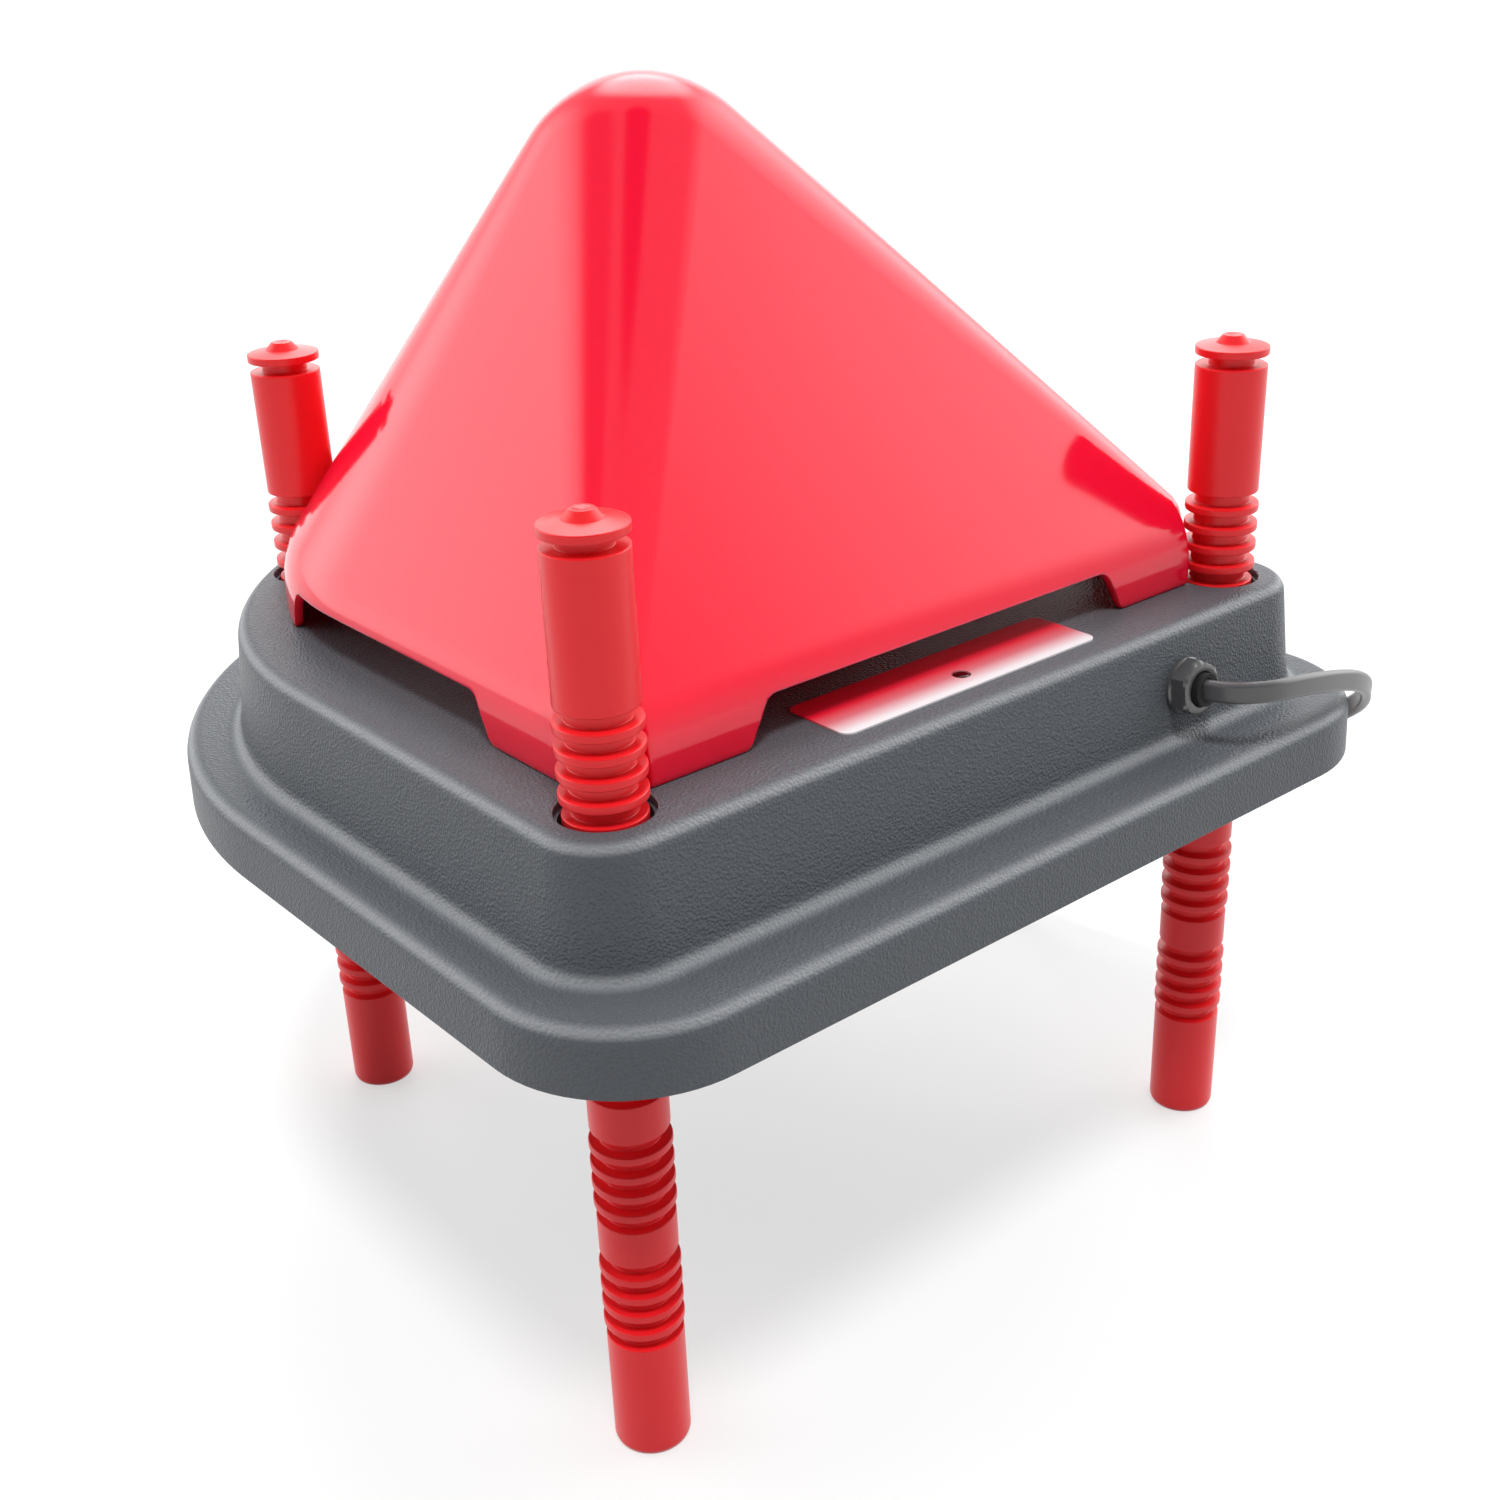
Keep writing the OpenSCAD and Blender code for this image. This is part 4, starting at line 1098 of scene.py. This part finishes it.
def make_plug():
    """Plug shell with its strain relief and the seats of its pins."""
    obj = join("plug_shell", [moved(plug_relief(), ON_PLUG), moved(plug_grip(), ON_PLUG)], PLUG)
    for side in (-1, 1):
        spot = Vector((0, side * PIN_GAP / 2, 0))
        face = RELIEF_LEN + PLUG_LEN
        ends = (face - PIN_ROOT_LEN, face + PLUG_FACE_ROUND)
        bore = lathe([(PIN_ROOT_D / 2, z) for z in ends], PIN_SEGMENTS, spot)
        cut(obj, piece("pin_cutter", *moved(bore, ON_PLUG), PLUG))
    crisp(obj, PLUG_SHARP)
    return place(obj, "plate", "plug_plastic", "plug_body")


# Base screws

SCREW_HEAD_R = 2.8 * MM
SCREW_HEAD_H = 1.8 * MM
SCREW_D = 2.9 * MM
SCREW_LEN = 9 * MM
CROSS_W = 0.7 * MM
CROSS_LEN = 3 * MM
CROSS_DEEP = 0.9 * MM
SCREW_HEAD_ROUND = 1.2 * MM
SCREW_TIP_ROUND = 0.4 * MM
SCREW_ROUND_STEPS = 4
SCREW_SEGMENTS = 28
SCREW_SHARP = 35
CROSS_PROUD = 1 * MM
POST_INSET = 12 * MM
SCREW_FRONT_SHARE = 0.3
SCREW_FRONT_X = SCREW_FRONT_SHARE * 2 * HALF_W
SCREW_SIDE_Y = (FRONT_Y + FLANGE_CORNER_R + ROUND_Y) / 2
SCREW_BACK_ANGLES = (13, 66)


def screw_places():
    """Places of the base screws in plan."""
    r = HALF_W - POST_INSET
    spots = []
    for side in (-1, 1):
        spots.append(Vector((side * SCREW_FRONT_X, FRONT_Y + POST_INSET, BASE_Z)))
        spots.append(Vector((side * r, SCREW_SIDE_Y, BASE_Z)))
        for a in SCREW_BACK_ANGLES:
            way = math.radians(a)
            spots.append(Vector((side * r * math.cos(way), ROUND_Y + r * math.sin(way), BASE_Z)))
    return spots


def cross_ring(z):
    """Outline of the cross recess at a height."""
    w, r = CROSS_W / 2, CROSS_LEN / 2
    corners = (
        (r, -w), (r, w), (w, w), (w, r), (-w, r), (-w, w),
        (-r, w), (-r, -w), (-w, -w), (-w, -r), (w, -r), (w, -w),
    )
    return [Vector((x, y, z)) for x, y in corners]


def make_screws():
    """Base screws, all alike, with a cross recess in each head."""
    profile = rounded([
        (0, -SCREW_HEAD_H, 0), (SCREW_HEAD_R, -SCREW_HEAD_H, SCREW_HEAD_ROUND), (SCREW_HEAD_R, 0, 0),
        (SCREW_D / 2, 0, 0), (SCREW_D / 2, SCREW_LEN, SCREW_TIP_ROUND), (0, SCREW_LEN, 0),
    ], SCREW_ROUND_STEPS)
    one = piece("one_screw", *lathe(profile, SCREW_SEGMENTS), STEEL)
    ends = (-SCREW_HEAD_H - CROSS_PROUD, CROSS_DEEP - SCREW_HEAD_H)
    recess = loft([cross_ring(z) for z in ends], cap_start=True, cap_end=True)
    cut(one, piece("cross_cutter", *recess, STEEL))
    verts = [v.co.copy() for v in one.data.vertices]
    faces = [tuple(p.vertices) for p in one.data.polygons]
    bpy.data.objects.remove(one)
    parts = [moved((verts, faces), Matrix.Translation(spot)) for spot in screw_places()]
    obj = join("base_screw_heads", parts, STEEL)
    crisp(obj, SCREW_SHARP)
    place(obj, "plate", "screw_steel", "base_screws")


make_housing()
make_cover()
make_legs()
make_lamp()
make_gland()
cord, cord_path = make_cord()
plug = make_plug()
make_screws()
finish_cad_pieces()
for node_name, soft_width in SOFT_WIDTHS.items():
    soften(node_name, soft_width)


# Stage: white floor that keeps a soft shadow, light tent, camera

def maths(tree, operation, *values):
    """Output of a maths node; each value is a socket or a number."""
    node = tree.nodes.new("ShaderNodeMath")
    node.operation = operation
    for socket, value in zip(node.inputs, values):
        if isinstance(value, (int, float)):
            socket.default_value = value
        else:
            tree.links.new(value, socket)
    return node.outputs["Value"]


def towards(tree, way, aim):
    """How well a direction agrees with an aim, 1 where they are alike."""
    node = tree.nodes.new("ShaderNodeVectorMath")
    node.operation = "DOT_PRODUCT"
    node.inputs[1].default_value = Vector(aim).normalized()
    tree.links.new(way, node.inputs[0])
    return node.outputs["Value"]


def eased(tree, value, start, end, first, last):
    """Smooth change of a value from first to last between start and end."""
    node = tree.nodes.new("ShaderNodeMapRange")
    node.interpolation_type = "SMOOTHSTEP"
    for name, number in (("From Min", start), ("From Max", end), ("To Min", first), ("To Max", last)):
        node.inputs[name].default_value = number
    tree.links.new(value, node.inputs["Value"])
    return node.outputs["Result"]


FLOOR_SIZE = 30.0
FLOOR_GREY = 0.4
FLOOR_GLOW = 0.53


def make_floor():
    """Plain white floor that keeps the shadow of the overhead light."""
    material, main = shader("floor_paint")
    main.inputs["Base Color"].default_value = (FLOOR_GREY, FLOOR_GREY, FLOOR_GREY, 1)
    main.inputs["Roughness"].default_value = 1.0
    main.inputs["Specular IOR Level"].default_value = 0.0
    main.inputs["Emission Color"].default_value = (1, 1, 1, 1)
    tree = material.node_tree
    path = tree.nodes.new("ShaderNodeLightPath")
    mirrored = maths(tree, "ADD", path.outputs["Is Glossy Ray"], path.outputs["Is Transmission Ray"])
    seen = maths(tree, "ADD", path.outputs["Is Camera Ray"], mirrored)
    glow = maths(tree, "MULTIPLY", seen, FLOOR_GLOW)
    tree.links.new(glow, main.inputs["Emission Strength"])
    size = FLOOR_SIZE
    corners = [(-size, -size, 0), (size, -size, 0), (size, size, 0), (-size, size, 0)]
    piece("floor", corners, [(0, 1, 2, 3)], material, smooth=False)


# Light tent: white along the horizon and dimmer above, with darker gaps and soft patches of light,
# each with its way, its spread and its strength
TENT_BAND = ((0.1, 1.0), (0.5, 0.68))
TENT_HORIZON = (0.06, 0.13)
TENT_GAPS = (
    ((-0.6, -0.75, 0.1), (0.2, 0.85), 0.05),
    ((0.0, 0.03, 1.0), (0.985, 0.996), 0.1),
    ((-0.34, 0.34, 0.88), (0.965, 0.992), 0.4),
)
TENT_PATCHES = (
    ((-0.48, 0.8, 0.36), (0.8, 0.98), 1.7),
    ((0.92, -0.1, 0.4), (0.78, 0.97), 2.2),
    ((0.42, 0.5, 0.76), (0.92, 0.98), 3.6),
    ((0.58, 0.77, 0.32), (0.9, 0.98), 1.6),
)


def make_world():
    """Smooth light tent round the object."""
    world = bpy.data.worlds.new("tent")
    world.use_nodes = True
    bpy.context.scene.world = world
    tree = world.node_tree
    way = tree.nodes.new("ShaderNodeTexCoord").outputs["Generated"]
    split = tree.nodes.new("ShaderNodeSeparateXYZ")
    tree.links.new(way, split.inputs["Vector"])
    (low, bright), (high, dim) = TENT_BAND
    strength = eased(tree, split.outputs["Z"], low, high, bright, dim)
    for aim, (outer, inner), share in TENT_GAPS:
        gap = eased(tree, towards(tree, way, aim), outer, inner, 1.0, share)
        strength = maths(tree, "MULTIPLY", strength, gap)
    horizon = eased(tree, split.outputs["Z"], *TENT_HORIZON, 1.0, 0.0)
    strength = maths(tree, "MAXIMUM", strength, horizon)
    for aim, (outer, inner), level in TENT_PATCHES:
        patch = eased(tree, towards(tree, way, aim), outer, inner, 0.0, level)
        strength = maths(tree, "ADD", strength, patch)
    light = tree.nodes["Background"]
    light.inputs["Color"].default_value = (1.0, 1.0, 1.0, 1)
    tree.links.new(strength, light.inputs["Strength"])


OVERHEAD_WAY = (0.22, 0.34, -1.0)
OVERHEAD_POWER = 1.85
OVERHEAD_SPREAD = math.radians(12)


def overhead_light():
    """Soft light from above, which gives the floor its shadow."""
    lamp = bpy.data.lights.new("overhead", "SUN")
    lamp.energy = OVERHEAD_POWER
    lamp.angle = OVERHEAD_SPREAD
    obj = bpy.data.objects.new("overhead", lamp)
    obj.rotation_euler = Vector(OVERHEAD_WAY).to_track_quat("-Z", "Y").to_euler()
    obj.visible_glossy = False
    bpy.context.scene.collection.objects.link(obj)


CAMERA_SPOT = (-0.3280, -0.4342, 0.3773)
CAMERA_ANGLES = (-40.04, 24.85, -1.85)
CAMERA_LENS = 45.2
CAMERA_SENSOR = 36
CAMERA_SHIFT = (-0.0247, 0.0033)
CAMERA_NEAR = 0.01


def make_camera():
    """Camera at the viewing angle, with a slight roll and a small shift for the framing."""
    turn, rise, roll = (math.radians(angle) for angle in CAMERA_ANGLES)
    back = Vector((math.sin(turn) * math.cos(rise), -math.cos(turn) * math.cos(rise), math.sin(rise)))
    level = Vector((math.cos(turn), math.sin(turn), 0))
    upright = back.cross(level)
    right = math.cos(roll) * level + math.sin(roll) * upright
    up = math.cos(roll) * upright - math.sin(roll) * level
    camera = bpy.data.objects.new("camera", bpy.data.cameras.new("camera"))
    camera.matrix_world = Matrix((right, up, back)).transposed().to_4x4()
    camera.location = CAMERA_SPOT
    camera.data.lens = CAMERA_LENS
    camera.data.sensor_width = CAMERA_SENSOR
    camera.data.shift_x, camera.data.shift_y = CAMERA_SHIFT
    camera.data.clip_start = CAMERA_NEAR
    bpy.context.scene.collection.objects.link(camera)
    bpy.context.scene.camera = camera


make_floor()
make_world()
overhead_light()
make_camera()
bpy.context.scene.view_settings.view_transform = "Standard"
